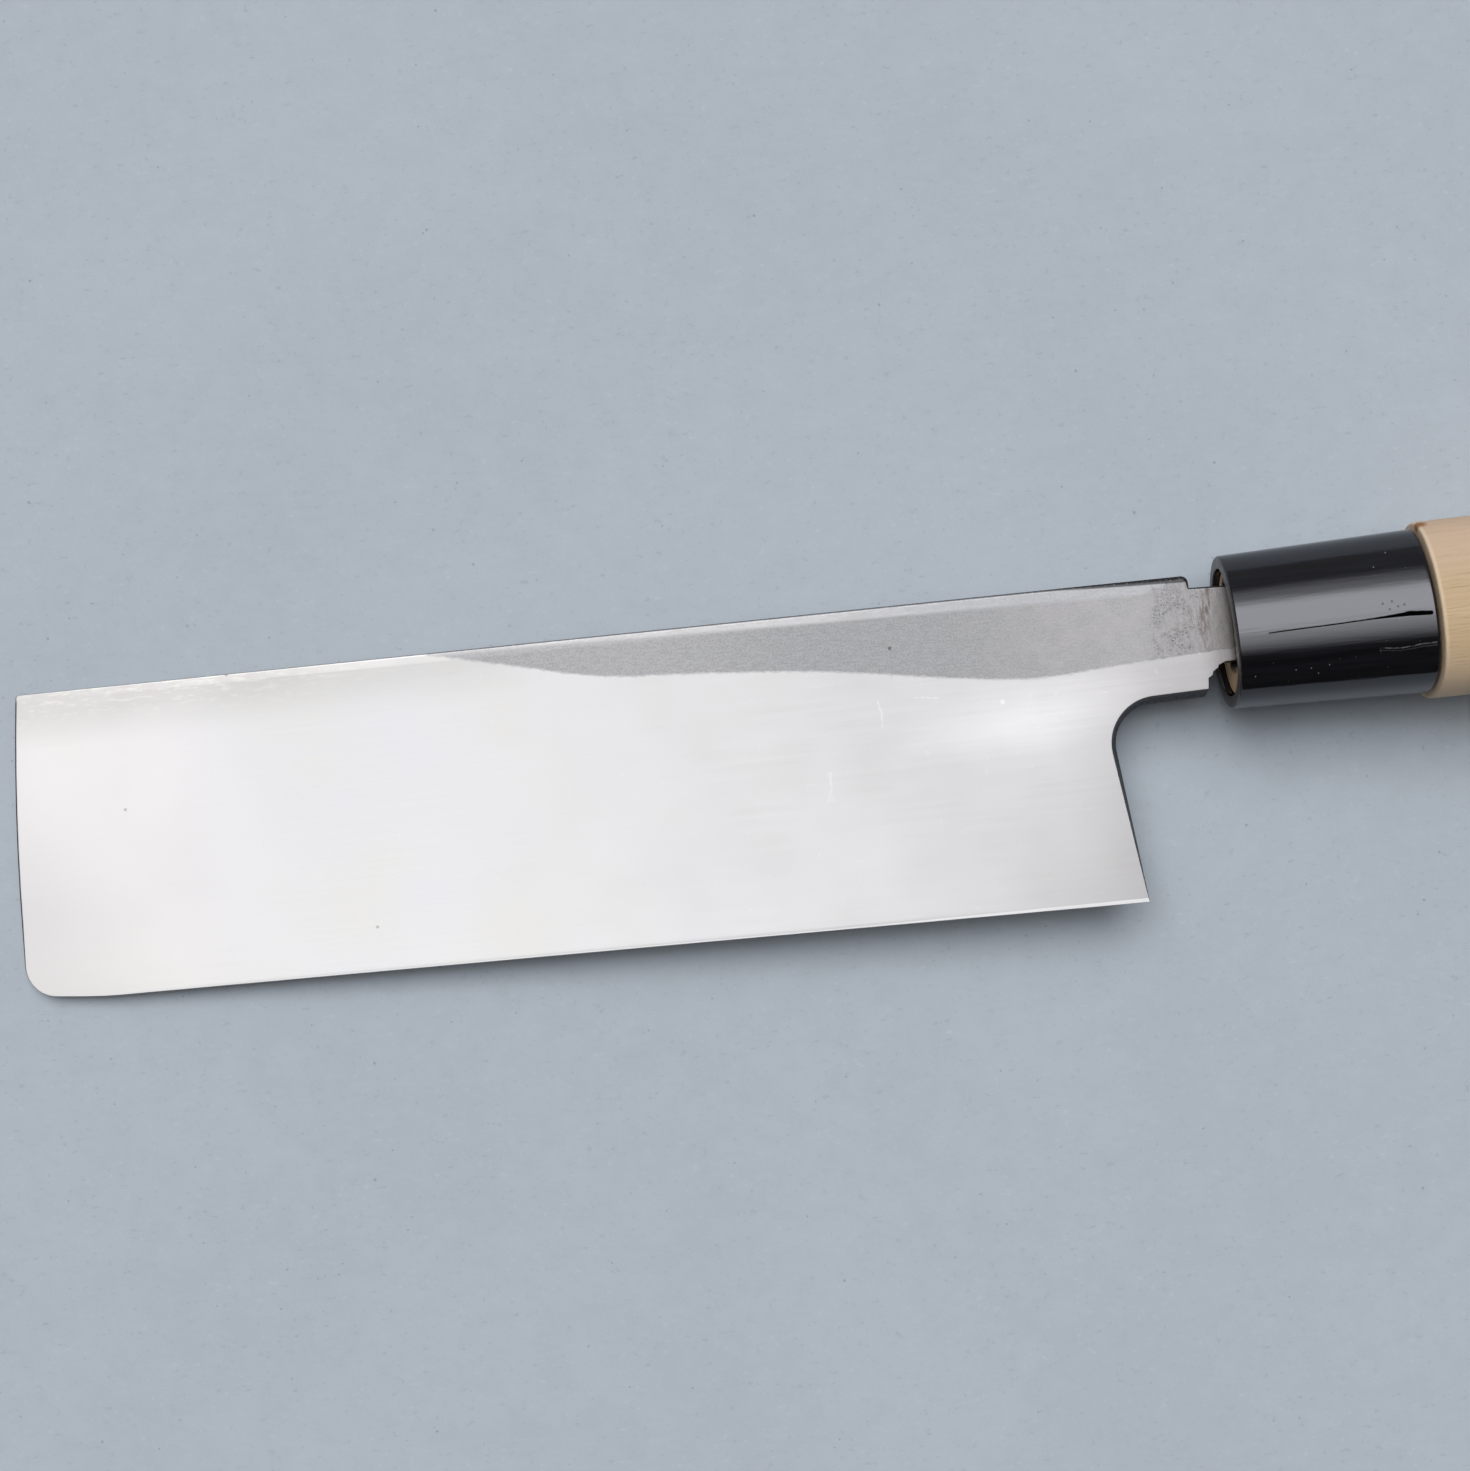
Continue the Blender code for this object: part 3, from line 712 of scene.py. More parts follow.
def remove(*objects):
    for obj in objects:
        bpy.data.objects.remove(obj)


def round_angles(coarse, fine=0.0, start=0.0, end=0.0):
    """Angles once round in coarse degrees, with fine degrees between start and end."""
    angles, angle = [], 0.0
    while angle < 360.0 - coarse / 2:
        angles.append(math.radians(angle))
        angle += fine if start <= angle < end else coarse
    return angles


COLLAR_ANGLES = round_angles(1.0, 0.2, 90.0, 102.0)
WOOD_ANGLES = round_angles(1.5)


def oval_section(x, half_height, up, inset, angles):
    down = up - RIDGE_PEAK + RIDGE_EXTRA
    section = []
    for angle in angles:
        c, s = math.cos(angle), math.sin(angle)
        y, z = (math.copysign(abs(v) ** (2 / OVAL_POWER), v) for v in (c, s))
        if s > 0:
            z *= up * (1 - FULLNESS_UP * c)
        else:
            flank = max(0.0, 1 - abs(y + RIDGE_SHARE) / RIDGE_REACH)
            z = z * down * (1 - FULLNESS_DOWN * c) - RIDGE_PEAK * flank ** RIDGE_CURVE
        y *= half_height
        length = math.hypot(y, z)
        shrink = (length - inset) / length
        section.append(Vector((x, y * shrink, z * shrink - HANDLE_AXIS_DROP)))
    return section


def collar_section(x, inset=0.0, angles=COLLAR_ANGLES):
    share = x / COLLAR_LENGTH
    return oval_section(x, mix(*COLLAR_HEIGHT, share) / 2, mix(*COLLAR_UP, share), inset, angles)


def grooved_section(x):
    """The collar's outside, with the cut groove that widens to the wood."""
    xs, ys = zip(*GROOVE_LINE)
    share = (x - xs[0]) / (xs[-1] - xs[0])
    ragged = noise.noise(Vector((x * GROOVE_RAGGED, 0.0, 0.0)))
    wide = smooth((share - GROOVE_WIDENS[0]) / (GROOVE_WIDENS[1] - GROOVE_WIDENS[0]))
    width = mix(*GROOVE_WIDTH, wide) * (1 + GROOVE_WAVERS[0] * ragged)
    depth = mix(*GROOVE_DEPTH, wide) * smooth(share * GROOVE_ENDS[0]) * smooth((1 - share) * GROOVE_ENDS[1])
    middle = np.interp(x, xs, ys) + GROOVE_WAVERS[1] * width * ragged
    section = collar_section(x)
    for point in section:
        if point.z > 0:
            point.z -= depth * (1 - smooth(abs(point.y - middle) / width))
    return section


def bore_section(x, widened=0.0, gap=0.0, angles=COLLAR_ANGLES):
    """The collar's bore, which keeps the shape of its front, or the tenon with a gap round it."""
    return [(x, p.y, p.z) for p in collar_section(0.0, COLLAR_WALL + gap - widened, angles)]


def wood_section(x, inset=0.0):
    share = (x - COLLAR_LENGTH) / (HANDLE_LENGTH - COLLAR_LENGTH)
    grow = WOOD_PROUD + WOOD_SWELL * share
    return oval_section(x, COLLAR_HEIGHT[1] / 2 + grow, COLLAR_UP[1] + grow, inset, WOOD_ANGLES)


def rounding(section, end, size):
    """Sections of a rounding from an end of a piece inwards; size is negative at a rear end."""
    return [section(end + size * drop, abs(size) * inset) for inset, drop in quarter(HANDLE_ROUND_STEPS)]


def collar_piece():
    """Black collar: outside, rear rim, bore and front rim in one closed skin."""
    sections = rounding(collar_section, 0.0, COLLAR_ROUND)
    sections += [grooved_section(x) for x in stations(COLLAR_ROUND, COLLAR_LENGTH - COLLAR_ROUND,
                                                      COLLAR_STEP)[1:]]
    sections += rounding(collar_section, COLLAR_LENGTH, -COLLAR_ROUND)[-2::-1]
    sections += [bore_section(x) for x in (COLLAR_LENGTH, BORE_STATION, BORE_ROUND)]
    sections += rounding(bore_section, 0.0, BORE_ROUND)[-2::-1]
    bm = bmesh.new()
    first, last = join_loops(bm, sections)
    join_rings(bm, last, first)
    return new_object("horn_collar", bm)


def handle_piece():
    """Wooden grip with the tenon inside the collar, and the burnt-in slot for the tang."""
    shoulder = COLLAR_LENGTH + FIT
    sections = [bore_section(x, gap=FIT, angles=WOOD_ANGLES) for x in (TENON_RECESS, shoulder)]
    sections += rounding(wood_section, shoulder, WOOD_ROUND)
    sections += [wood_section(x) for x in stations(shoulder + WOOD_ROUND, HANDLE_LENGTH - BUTT_ROUND,
                                                   WOOD_STEP)[1:]]
    sections += rounding(wood_section, HANDLE_LENGTH, -BUTT_ROUND)[-2::-1]
    blank = closed_tube("handle_blank", sections)
    ends = [(0.0, TANG_TOP, TANG_FOOT, TANG_THICKNESS),
            (TANG_LENGTH + FIT, TANG_END_TOP, TANG_END_FOOT, TANG_END_THICKNESS)]
    loops = [[(x, top + FIT, FIT), (x, -foot - FIT, FIT), (x, -foot - FIT, -thick - FIT),
              (x, top + FIT, -thick - FIT)] for x, top, foot, thick in ends]
    slot = closed_tube("slot", loops)
    handle = boolean("wood_handle", blank, slot, "DIFFERENCE")
    remove(blank, slot)
    return handle


# Materials

class Graph:
    """Shorthand for the nodes of a material, or of the world's light."""

    def __init__(self, owner, shader):
        owner.use_nodes = True
        self.owner, self.tree = owner, owner.node_tree
        self.shader = self.tree.nodes[shader]

    def feed(self, socket, value):
        if isinstance(value, bpy.types.NodeSocket):
            self.tree.links.new(value, socket)
        else:
            socket.default_value = value

    def add(self, kind, inputs, output=0, **settings):
        node = self.tree.nodes.new("ShaderNode" + kind)
        for key, value in settings.items():
            setattr(node, key, value)
        for key, value in inputs.items():
            self.feed(node.inputs[key], value)
        return node.outputs[output]

    def axis(self, vector, index):
        return self.add("SeparateXYZ", {0: vector}, output=index)

    def vector(self, operation, a, b, output=0):
        return self.add("VectorMath", {0: a, 1: b}, output=output, operation=operation)

    def math(self, operation, a, b=0.0, c=0.0, clamped=False):
        return self.add("Math", {0: a, 1: b, 2: c}, operation=operation, use_clamp=clamped)

    def chain(self, operation, *values):
        """One operation over all the values, one after the other."""
        total = values[0]
        for value in values[1:]:
            total = self.math(operation, total, value)
        return total

    def product(self, *values):
        return self.chain("MULTIPLY", *values)

    def most(self, *values):
        return self.chain("MAXIMUM", *values)

    def minus(self, a, b):
        return self.math("SUBTRACT", a, b)

    def times_plus(self, a, b, c):
        return self.math("MULTIPLY_ADD", a, b, c)

    def line(self, value, start, end, low=0.0, high=1.0, **settings):
        """Value taken evenly from low at start to high at end."""
        return self.add("MapRange", {0: value, 1: start, 2: end, 3: low, 4: high}, **settings)

    def ramp(self, *values):
        """The same with a smooth step."""
        return self.line(*values, interpolation_type="SMOOTHSTEP")

    def set(self, **sockets):
        for name, value in sockets.items():
            self.feed(self.shader.inputs[name.replace("_", " ")], value)
        return self.owner


class Material(Graph):
    """Nodes of one material, in millimetres of the knife's frame; its colour is built up in steps."""

    def __init__(self, name):
        super().__init__(bpy.data.materials.new(name), "Principled BSDF")
        self.place = self.add("Mapping", {"Vector": self.add("TexCoord", {}, output="Object"),
                                          "Location": KNIFE.translation, "Rotation": KNIFE.to_euler(),
                                          "Scale": (MM, MM, MM)}, vector_type="TEXTURE")

    def flat(self):
        """Place seen from above."""
        return self.stretch(self.place, (1.0, 1.0, 0.0))

    def facing(self):
        """How much a face looks up: 1 up, 0 sideways, -1 down."""
        return self.axis(self.add("NewGeometry", {}, output="Normal"), 2)

    def stretch(self, vector, scales):
        return self.vector("MULTIPLY", vector, scales)

    def noise(self, vector, scale, detail=3.0, roughness=0.5):
        """Random pattern with one scale, or with a scale for each axis."""
        if isinstance(scale, tuple):
            vector, scale = self.stretch(vector, scale), 1.0
        return self.add("TexNoise", {"Vector": vector, "Scale": scale, "Detail": detail,
                                     "Roughness": roughness})

    def blend(self, share, a, b, **settings):
        colours = [(*v, 1.0) if isinstance(v, tuple) else v for v in (a, b)]
        return self.add("Mix", {0: share, 6: colours[0], 7: colours[1]}, output=2, data_type="RGBA",
                        **settings)

    def tint(self, colour, *shares):
        """Blends the colour so far with another by the product of some shares."""
        self.colour = self.blend(self.product(*shares), self.colour, colour)

    def darken(self, least, *shares):
        """Multiplies the colour so far by least where the product of some shares is 1."""
        self.colour = self.blend(self.product(*shares), self.colour, (least,) * 3, blend_type="MULTIPLY")

    def above(self, point, degrees):
        """Height over the line through a point that falls degrees towards +x, in mm."""
        fall = tan_of(degrees)
        tilted = self.vector("DOT_PRODUCT", self.place, (fall, 1.0, 0.0), 1)
        return self.minus(tilted, (point[1] + fall * point[0]) / MM)

    def below_spine(self):
        return self.product(self.above((-SPINE_SHOULDER, SPINE_RISE), SPINE_ANGLE), -1.0)

    def gap(self, place, points):
        """Distance of a place to a line through points given in mm."""
        gaps = []
        for a, b in zip(points, points[1:]):
            start, run = Vector((*a, 0.0)), Vector((b[0] - a[0], b[1] - a[1], 0.0))
            offset = self.vector("SUBTRACT", place, start)
            share = self.vector("DOT_PRODUCT", offset, run / run.length_squared, 1)
            share = self.math("ADD", share, clamped=True)
            foot = self.add("VectorMath", {0: run, "Scale": share}, operation="SCALE")
            gaps.append(self.vector("DISTANCE", offset, foot, 1))
        return self.chain("MINIMUM", *gaps)

    def near(self, place, points, width, soft):
        """1 on a line through points given in mm, fading out over soft beside its width."""
        return self.ramp(self.gap(place, points), width / 2 + soft, width / 2)

    def spots(self, place, points, radius):
        """1 in small round spots round points given in mm."""
        gaps = [self.vector("DISTANCE", place, (*point, 0.0), 1) for point in points]
        return self.ramp(self.chain("MINIMUM", *gaps), radius, radius * 0.4)

    def dots(self, vector, per_mm, radius, kept):
        """1 in dots of a radius in mm, in a share of the cells of a random pattern."""
        cell = self.add("TexVoronoi", {"Vector": vector, "Scale": per_mm}, output="Color",
                        voronoi_dimensions="2D")
        dot = self.ramp(cell.node.outputs["Distance"], radius * per_mm, radius * per_mm * 0.5)
        return self.product(dot, self.math("LESS_THAN", self.axis(cell, 0), kept))

    def finished(self, roughness, height, distance, **sockets):
        """The material with its colour, roughness and bump, whose height is in metres."""
        bump = self.add("Bump", {"Height": height, "Distance": distance})
        return self.set(Base_Color=self.colour, Roughness=roughness, Normal=bump, **sockets)

    def weld_gap(self):
        """Distance under the weld line, in mm: above 0 on the hard steel."""
        line = [p / MM for p in weld_line(WELD_STEPS[1])]
        low, high = min(p.y for p in line), max(p.y for p in line)
        start, end = line[0].x, line[-1].x
        shares = [((p.x - start) / (end - start), (p.y - low) / (high - low)) for p in line]
        curve = self.add("FloatCurve", {"Value": self.line(self.axis(self.place, 0), start, end)})
        points = curve.node.mapping.curves[0].points
        points[0].location, points[1].location = shares[0], shares[-1]
        for share in shares[1:-1]:
            points.new(*share)
        for point in points:
            point.handle_type = "VECTOR"
        curve.node.mapping.update()
        return self.minus(self.times_plus(curve, high - low, low), self.axis(self.place, 1))

    def walls(self, turned):
        """Paints shade on the blade's walls and turned edges, picked by how far their faces turn from up:
        dark, with a few light grains.
        """
        wall = self.ramp(self.math("ABSOLUTE", self.facing()), 0.75, 0.30)
        wall = self.most(wall, self.product(self.ramp(self.facing(), 0.997, 0.95), turned))
        grains = self.ramp(self.noise(self.place, 3.5, 3.0, 0.7), 0.52, 0.70)
        self.tint(self.blend(grains, WALL_SHADE, WALL_LIGHT), wall)


def hard_steel_material():
    g = Material("hard_steel")
    flat, x = g.flat(), g.axis(g.place, 0)
    upper = g.ramp(g.facing(), 0.1, 0.4)
    clouds = g.noise(flat, 0.045, 3.0, 0.55)
    streaks = g.noise(flat, (0.05, 1.4, 1.0), 4.0, 0.6)
    share = g.times_plus(streaks, 0.35, g.product(clouds, 0.65))
    hue = g.ramp(g.noise(flat, 0.035, 2.0), 0.40, 0.60)
    g.colour = g.blend(g.ramp(share, 0.33, 0.67), STEEL_DARK, g.blend(hue, STEEL_LIGHT, STEEL_CREAM))
    g.tint(STEEL_PINK, g.ramp(x, *PINK_ALONG), 0.92)
    g.tint(STEEL_NECK, g.ramp(x, *STEEL_NECK_ALONG))

    below_spine = g.below_spine()
    # Painted light towards the tip end
    g.tint(STEEL_TIP_PAINTED_LIGHT, g.ramp(x, *TIP_LIGHT_ALONG), 0.6)
    g.tint(STEEL_RUBBED, g.ramp(below_spine, *RUBBED_BELOW), g.ramp(x, *RUBBED_ALONG), 0.8)
    scuffed = g.product(g.ramp(x, *SCUFFED_ALONG), g.ramp(below_spine, *SCUFFED_BELOW))
    scuffs = g.noise(flat, (0.45, 1.5, 1.0), 4.0, 0.65)
    g.tint(SCUFF_CREAM, scuffed, g.ramp(scuffs, 0.50, 0.64), 0.55)
    g.tint(SCUFF_PINK, scuffed, g.ramp(scuffs, 0.46, 0.36), g.ramp(below_spine, 2.5, 0.3))

    above_edge = g.above((-HEEL_AHEAD, -HEEL_DROP), EDGE_ANGLE)
    g.tint(STEEL_CORNER, g.ramp(x, *CORNER_ALONG), g.ramp(above_edge, *CORNER_ABOVE), 0.45)
    rim = g.minus(above_edge, g.line(x, *EDGE_RIM_ENDS, *EDGE_RIM_HEIGHT))
    g.tint(STEEL_RIM, g.ramp(rim, 0.06, -0.06), upper, 0.8)

    ragged = g.times_plus(g.noise(flat, 0.9, 4.0, 0.65), 0.8, -0.4)
    g.tint(IRON_LIGHT, g.ramp(g.math("ADD", g.weld_gap(), ragged), WELD_SOFT, 0.0), upper, 0.8)

    wander = g.noise(flat, 0.8, 2.0)
    wander = g.stretch(g.add("CombineXYZ", {0: wander, 1: wander, 2: 0.0}), (0.5, -0.4, 0.0))
    marked = g.vector("ADD", flat, wander)
    scratch = g.most(*(g.near(marked, points, width, 0.16) for points, width in STEEL_SCRATCHES))
    g.tint(STEEL_RIM, scratch, g.ramp(g.noise(flat, 1.6, 2.0), 0.35, 0.55, 0.25, 1.0), upper, 0.32)
    g.darken(0.62, g.spots(flat, STEEL_DARK_SPOTS, 0.32), upper)
    g.tint(STEEL_RIM, g.spots(flat, STEEL_LIGHT_SPOTS, 0.5), upper, 0.4)
    fine_marks = g.most(g.noise(flat, (0.3, 2.2, 1.0)), g.noise(flat, (1.1, 0.6, 1.0), 4.0))
    g.tint(STEEL_RIM, g.ramp(fine_marks, 0.66, 0.74), 0.14)
    g.darken(0.75, g.dots(flat, 0.16, 0.12, 0.30), 0.4)
    # Painted shade on the walls and turned edges, left off the spine's turned edge near the tip
    g.walls(g.product(g.most(g.ramp(below_spine, 0.7, 1.2), g.ramp(x, *SPINE_SHADE_ALONG)), 0.85))
    rough = g.ramp(share, 0.3, 0.7, *STEEL_ROUGHNESS)
    return g.finished(rough, g.noise(g.place, (0.12, 5.0, 5.0)), 0.000003, Metallic=1.0)


def soft_iron_material():
    g = Material("soft_iron")
    flat, x = g.flat(), g.axis(g.place, 0)
    upper = g.ramp(g.facing(), 0.1, 0.4)
    grains = g.noise(flat, 3.2, 3.0, 0.75)
    mottle = g.noise(flat, 0.9, 4.0, 0.6)
    streaks = g.noise(flat, (0.6, 3.2, 1.0))
    share = g.times_plus(streaks, 0.25, g.times_plus(grains, 0.60, g.product(mottle, 0.15)))
    grained = g.ramp(share, 0.40, 0.60)
    g.colour = g.blend(grained, IRON_DARK, IRON_LIGHT)
    g.tint(g.blend(grained, IRON_SHADE, IRON_BRIGHT), g.ramp(x, *BRIGHT_ALONG), 0.7)
    patches = g.ramp(g.noise(flat, 0.28), 0.40, 0.62, 0.25, 0.85)
    g.tint(g.blend(grained, IRON_PINK_SHADE, IRON_PINK), g.ramp(x, *IRON_PINK_ALONG), patches)
    smear = g.ramp(g.noise(flat, (2.2, 0.5, 1.0), 4.0, 0.65), 0.40, 0.60, 0.15, 1.0)
    g.tint(g.blend(smear, IRON_NECK, IRON_NECK_SHADE), g.ramp(x, *IRON_NECK_ALONG),
           g.ramp(grains, 0.35, 0.65, 0.95, 0.45))

    below_spine = g.below_spine()
    depth = g.times_plus(g.ramp(x, -12.0, -5.0), -1.7, g.line(x, *RIM_ENDS, *RIM_DEPTH))
    rim = g.product(g.ramp(g.minus(below_spine, depth), 0.32, -0.32), upper, g.ramp(x, -4.9, -5.4))
    rubbed = g.ramp(g.noise(flat, (0.2, 1.0, 1.0)), 0.3, 0.6, 0.75, 1.0)
    g.tint(g.blend(g.ramp(x, -30.0, -80.0), IRON_RIM, STEEL_PINK), rim, rubbed)
    ragged = g.times_plus(g.noise(flat, 1.3, 4.0, 0.7), 0.7, -0.35)
    g.tint(STEEL_DARK, g.ramp(g.math("ADD", g.weld_gap(), ragged), -WELD_SOFT / 2, 0.0), upper, 0.45)

    g.darken(0.45, g.spots(flat, IRON_DARK_SPOTS, 0.38), upper)
    pitted = g.product(*(g.ramp(x, *ends) for ends in PITTED_ALONG), upper,
                       g.ramp(g.noise(flat, 0.35, 2.0), 0.42, 0.55))
    g.darken(0.84, pitted, g.ramp(mottle, 0.42, 0.6))
    g.darken(0.55, pitted, g.most(g.dots(flat, 2.6, 0.12, 0.55), g.dots(flat, 1.4, 0.16, 0.30)))
    glints = g.most(g.dots(flat, 1.9, 0.09, 0.30), g.ramp(g.noise(flat, 4.5, 2.0), 0.66, 0.76))
    g.tint(STEEL_PINK, glints, g.ramp(upper, 0.0, 1.0), 0.40)
    g.darken(0.6, g.dots(flat, 0.8, 0.10, 0.22), 0.5)

    upwards = g.ramp(g.axis(g.place, 1), -4.0, 5.5, 0.35, 1.0)
    g.tint(STAIN_BROWN, g.near(flat, TANG_STAIN, 0.5, 0.9), smear, upper, upwards)
    g.tint(TANG_SHADE, g.ramp(x, 0.0, 1.5), 0.85)
    # Painted shade: widens the dark turned edge of the spine towards its shoulder
    shade_wedge = g.minus(below_spine, g.line(x, *SHADE_WEDGE_ENDS, *SHADE_WEDGE_DEPTH))
    g.tint(WALL_SHADE, g.ramp(shade_wedge, 0.12, -0.12), g.ramp(x, SHADE_WEDGE_ENDS[0], SHADE_WEDGE_ENDS[0] + 8.0),
           g.ramp(x, -4.3, -4.7), 0.85)
    # Painted shade on the walls and turned edges, weaker towards the tip
    g.walls(g.ramp(x, -40.0, -6.0, 0.45, 0.95))
    rough = g.ramp(share, 0.35, 0.65, *IRON_ROUGHNESS)
    return g.finished(rough, g.times_plus(grains, 0.6, g.product(mottle, 0.4)), 0.00002, Metallic=1.0)


def collar_material():
    g = Material("black_horn")
    place, flat, x = g.place, g.flat(), g.axis(g.place, 0)
    upper = g.ramp(g.facing(), 0.2, 0.5)
    streaks = g.noise(place, (0.06, 0.9, 0.9), 4.0, 0.6)
    g.colour = g.blend(g.ramp(streaks, 0.35, 0.7), HORN_DARK, HORN_LIGHT)
    line = [(a / MM, b / MM) for a, b in GROOVE_LINE]
    widens = [mix(line[0][0], line[-1][0], share) for share in GROOVE_WIDENS]
    half = g.ramp(x, *widens, *(width / MM * 0.85 for width in GROOVE_WIDTH))
    groove = g.product(g.ramp(g.minus(g.gap(flat, line), half), 0.08, -0.06), upper)
    ragged = g.times_plus(g.noise(flat, (0.8, 0.3, 1.0)), 0.3, -0.15)
    bent = g.vector("ADD", flat, g.add("CombineXYZ", {0: 0.0, 1: ragged, 2: 0.0}))
    scratch = g.product(g.near(bent, COLLAR_SCRATCH, 0.06, 0.10), upper,
                        g.ramp(g.noise(flat, 1.1), 0.40, 0.58, 0.15, 1.0))
    shade = g.product(g.near(bent, [(a, b - 0.30) for a, b in COLLAR_SCRATCH[1:]], 0.08, 0.12), upper)
    g.tint(HORN_SCRATCH, scratch, 0.8)
    g.tint(HORN_SPECK, g.spots(flat, COLLAR_SPECKS, 0.13), upper)
    g.tint(HORN_SCRATCH, g.dots(flat, 0.45, 0.08, 0.22), upper, 0.5)
    end = g.ramp(x, 0.25, 0.05)
    g.tint(HORN_END, end, g.ramp(g.noise(place, 2.2, 4.0, 0.7), 0.35, 0.65, 0.2, 1.0))
    g.darken(0.3, groove)
    pits = g.product(g.spots(bent, COLLAR_PITS, 0.20), upper)
    wear = g.most(g.product(g.most(pits, shade), 0.5), g.product(scratch, 0.3))
    rough = g.ramp(g.noise(place, (0.15, 0.5, 0.5)), 0.3, 0.7, *HORN_ROUGHNESS)
    rough = g.times_plus(g.most(wear, groove), 0.6, g.times_plus(end, 0.25, rough))
    height = g.times_plus(wear, -1.0, g.product(g.noise(place, (0.25, 3.0, 3.0)), 0.25))
    sheen = g.blend(groove, HORN_SHEEN, HORN_DARK)
    return g.finished(rough, height, 0.00003, IOR=HORN_IOR, Specular_Tint=sheen)


def wood_material():
    g = Material("pale_wood")
    place = g.place
    x, y, z = (g.axis(place, i) for i in range(3))
    front = COLLAR_LENGTH / MM
    fine = g.noise(place, (0.035, 2.6, 2.6), 5.0, 0.6)
    share = g.times_plus(fine, 0.55, g.product(g.noise(place, (0.008, 0.3, 0.3)), 0.45))
    g.colour = g.blend(g.ramp(share, 0.36, 0.64), WOOD_DARK, WOOD_LIGHT)
    # Painted sheen of the light on the grip's upper side
    g.tint(WOOD_TOP_PAINTED_SHEEN, g.ramp(y, 1.0, 9.0, 0.0, 0.5))
    pores = g.ramp(g.noise(place, (0.16, 6.0, 6.0), 2.0), 0.62, 0.72)
    g.darken(0.72, pores, 0.35)
    # Painted light on the wood's front shoulder beside the collar
    g.tint(WOOD_FRONT_PAINTED_LIGHT, g.ramp(x, front + 1.0, front + 0.3), g.ramp(x, front - 0.5, front - 0.2), 0.75)
    grime = g.times_plus(g.noise(place, 0.5), 0.2, x)
    patchy = g.ramp(g.noise(place, 0.25), 0.40, 0.60, 0.05, 0.25)
    g.tint(WOOD_ORANGE, g.ramp(grime, front + 0.62, front + 0.42), patchy)
    g.tint(WOOD_GRIME, g.ramp(grime, front + 0.32, front + 0.26))
    # Painted light: the grip paler towards its lower side
    g.tint(WOOD_LOWER_PAINTED_LIGHT, g.ramp(y, -3.0, -12.0), 0.9)
    g.tint(WOOD_ORANGE, g.ramp(g.vector("DISTANCE", place, WOOD_CHIP, 1), 1.5, 0.5))

    squares = []
    for value, (middle, half) in ((y, TANG_ACROSS), (z, TANG_THROUGH)):
        off = g.most(g.minus(g.math("ABSOLUTE", g.minus(value, middle)), half), 0.0)
        squares.append(g.product(off, off))
    gap = g.times_plus(g.noise(place, 1.6), 2.2, g.math("SQRT", g.math("ADD", *squares)))
    # Char round the tang's slot, then the tenon's light-brown wood brightened as painted light
    g.tint(g.blend(g.ramp(gap, 1.3, 2.6), CHAR, TENON_WOOD_PAINTED_LIT), g.ramp(x, front, front - 1.0))
    return g.finished(WOOD_ROUGHNESS, g.times_plus(pores, -0.6, fine), 0.00005)


def floor_material():
    g = Material("blue_grey_table")
    place = g.place
    mottle = g.noise(place, 0.22, 5.0, 0.62)
    share = g.times_plus(g.noise(place, 0.02, 2.0), 0.5, g.product(mottle, 0.5))
    g.colour = g.blend(g.ramp(share, 0.35, 0.65), FLOOR_DARK, FLOOR_LIGHT)
    g.darken(0.93, g.ramp(g.noise(place, (0.5, 0.16, 1.0), 4.0, 0.7), 0.58, 0.72), 0.4)
    scuffs = g.noise(place, (0.7, 1.2, 1.0), 4.0, 0.7)
    g.tint(FLOOR_PALE, g.ramp(scuffs, 0.60, 0.70, 0.0, 0.6))
    g.darken(0.86, g.ramp(scuffs, 0.40, 0.31, 0.0, 0.9))
    fine = g.most(g.dots(g.stretch(place, (0.6, 1.0, 1.0)), 0.26, 0.16, 0.30),
                  g.dots(g.stretch(place, (1.0, 0.6, 1.0)), 0.21, 0.20, 0.25))
    g.darken(0.78, fine, g.ramp(scuffs, 0.5, 0.35, 0.35, 1.0))
    g.darken(0.60, g.most(g.dots(place, 0.10, 0.20, 0.20), g.dots(place, 0.045, 0.28, 0.30)), 0.7)
    return g.finished(FLOOR_ROUGHNESS, mottle, 0.00015)


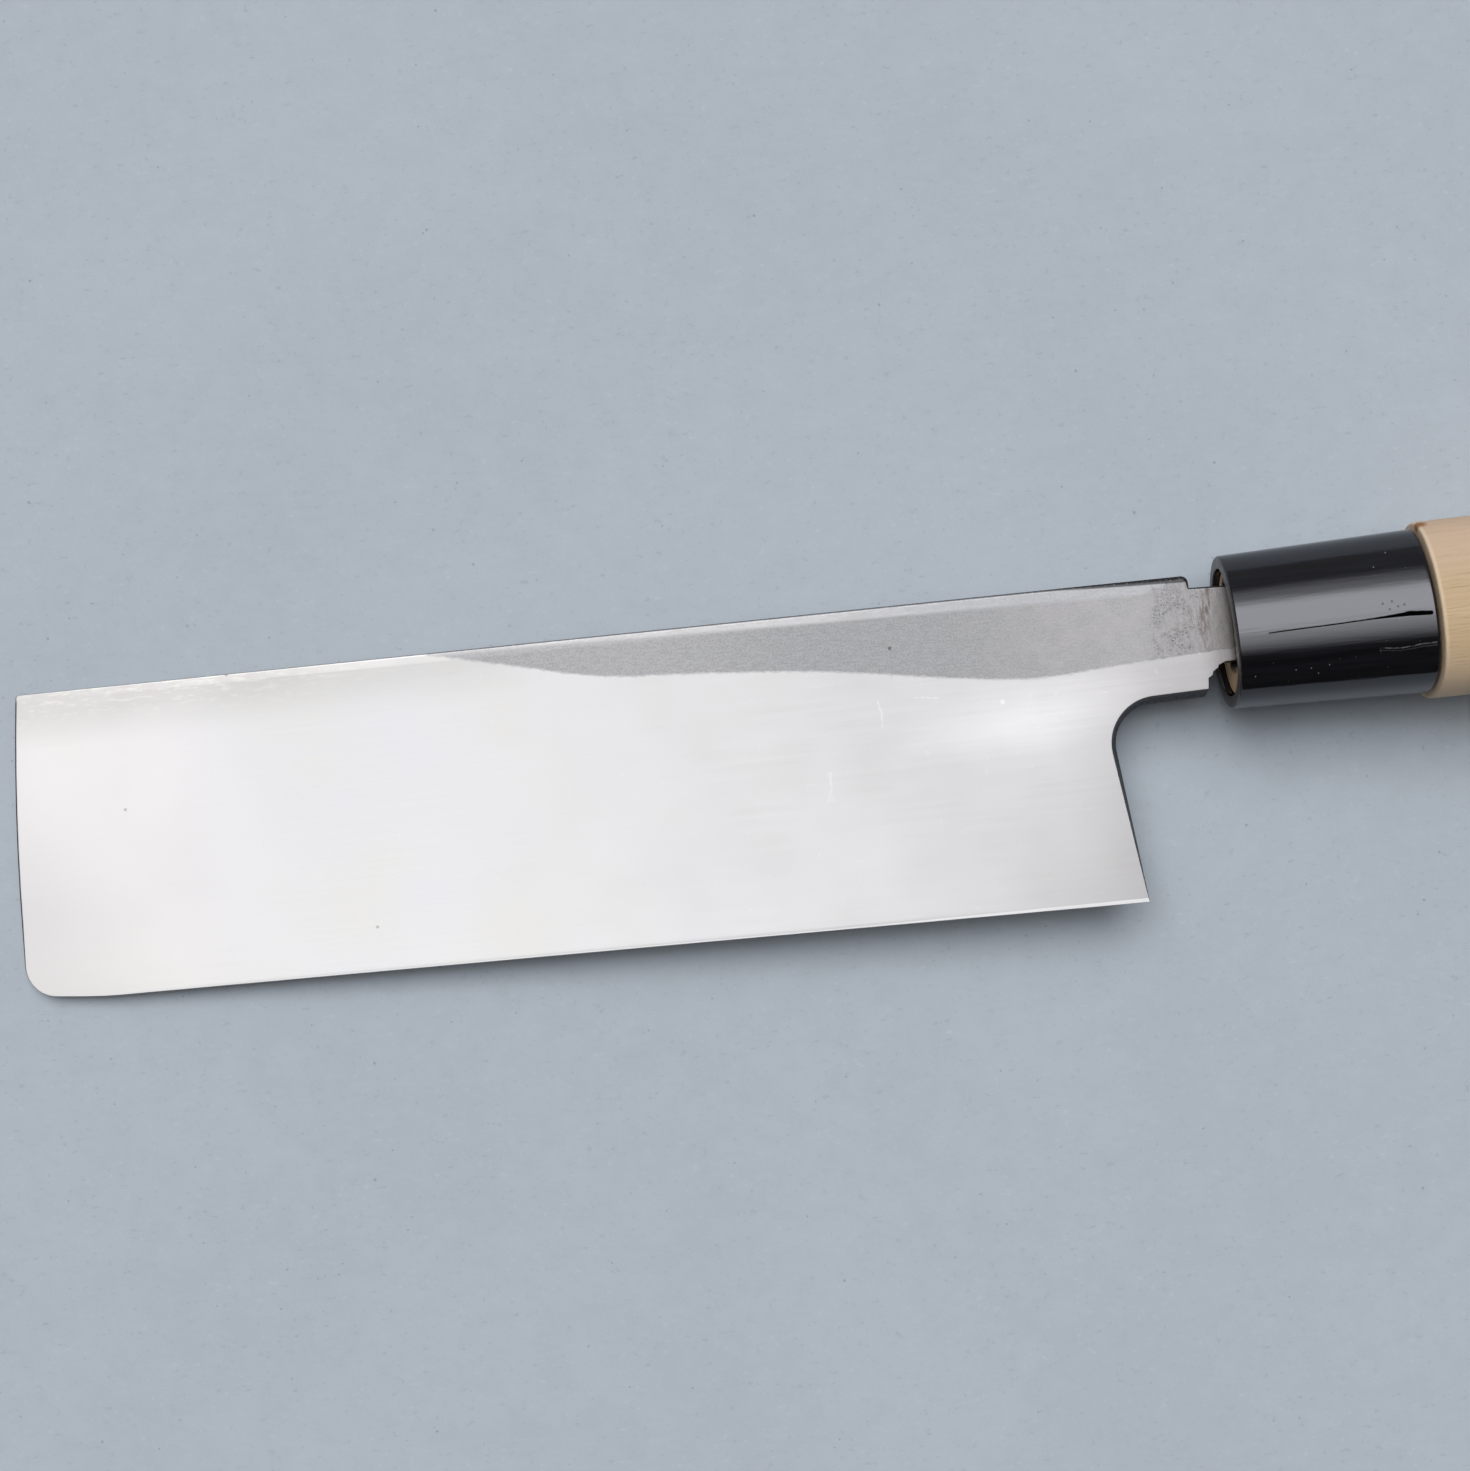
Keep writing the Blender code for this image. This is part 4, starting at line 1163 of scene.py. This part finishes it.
def finish_piece(piece, nodes, material):
    """Puts a piece drawn in the knife's frame in its place and hides the parts of the model that it stands
    for.
    """
    mesh = piece.data
    mesh.materials.clear()
    mesh.materials.append(material)
    mesh.shade_smooth()
    mesh.set_sharp_from_angle(angle=SMOOTH_ANGLE)
    mesh.transform(KNIFE)
    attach(piece, "root")
    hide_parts(*nodes)


def build_blade():
    blank, block = blade_blank(), steel_block()
    steel = boolean("hard_steel_edge", blank, block, "INTERSECT")
    iron = boolean("soft_iron_body", blank, block, "DIFFERENCE")
    remove(blank, block)
    finish_piece(steel, ["blade_hagane"], hard_steel_material())
    finish_piece(iron, ["blade_jigane"], soft_iron_material())


def build_floor():
    bm = bmesh.new()
    bmesh.ops.create_grid(bm, x_segments=8, y_segments=8, size=FLOOR_SIZE / 2)
    floor = new_object("table_top", bm)
    floor.data.materials.append(floor_material())


def build_world():
    """Bright window towards the spine, with a dimmer shoulder past the zenith, in a dim room."""
    g = Graph(bpy.data.worlds.new("studio"), "Background")
    bpy.context.scene.world = g.owner
    ray = g.add("TexCoord", {}, output="Generated")
    rise = g.most(g.axis(ray, 2), LOWEST_RISE)
    along, across = (g.math("DIVIDE", g.axis(ray, i), rise) for i in range(2))
    source = g.chain("ADD", *(g.ramp(across, start, end, 0.0, change)
                              for start, end, change in (SHOULDER, WINDOW, WINDOW_END, TAIL_END)))
    source = g.product(source, *(g.ramp(along, *ends) for ends in WINDOW_ALONG))
    room = g.line(g.axis(ray, 1), *ROOM_ENDS, *ROOM_STRENGTH)
    g.set(Color=LIGHT_COLOUR, Strength=g.math("ADD", source, room))


def build_camera():
    data = bpy.data.cameras.new("camera")
    data.lens = CAMERA_LENS
    data.sensor_width = CAMERA_SENSOR
    data.sensor_fit = "HORIZONTAL"
    camera = add_object("camera", data)
    camera.location = KNIFE.translation + CAMERA_OFFSET
    camera.rotation_euler = (0, 0, CAMERA_TURN)
    bpy.context.scene.camera = camera


bpy.context.scene.view_settings.view_transform = "Standard"
build_camera()
build_world()
build_floor()
build_blade()
finish_piece(collar_piece(), ["collar"], collar_material())
finish_piece(handle_piece(), ["handle"], wood_material())

bpy.context.view_layer.update()
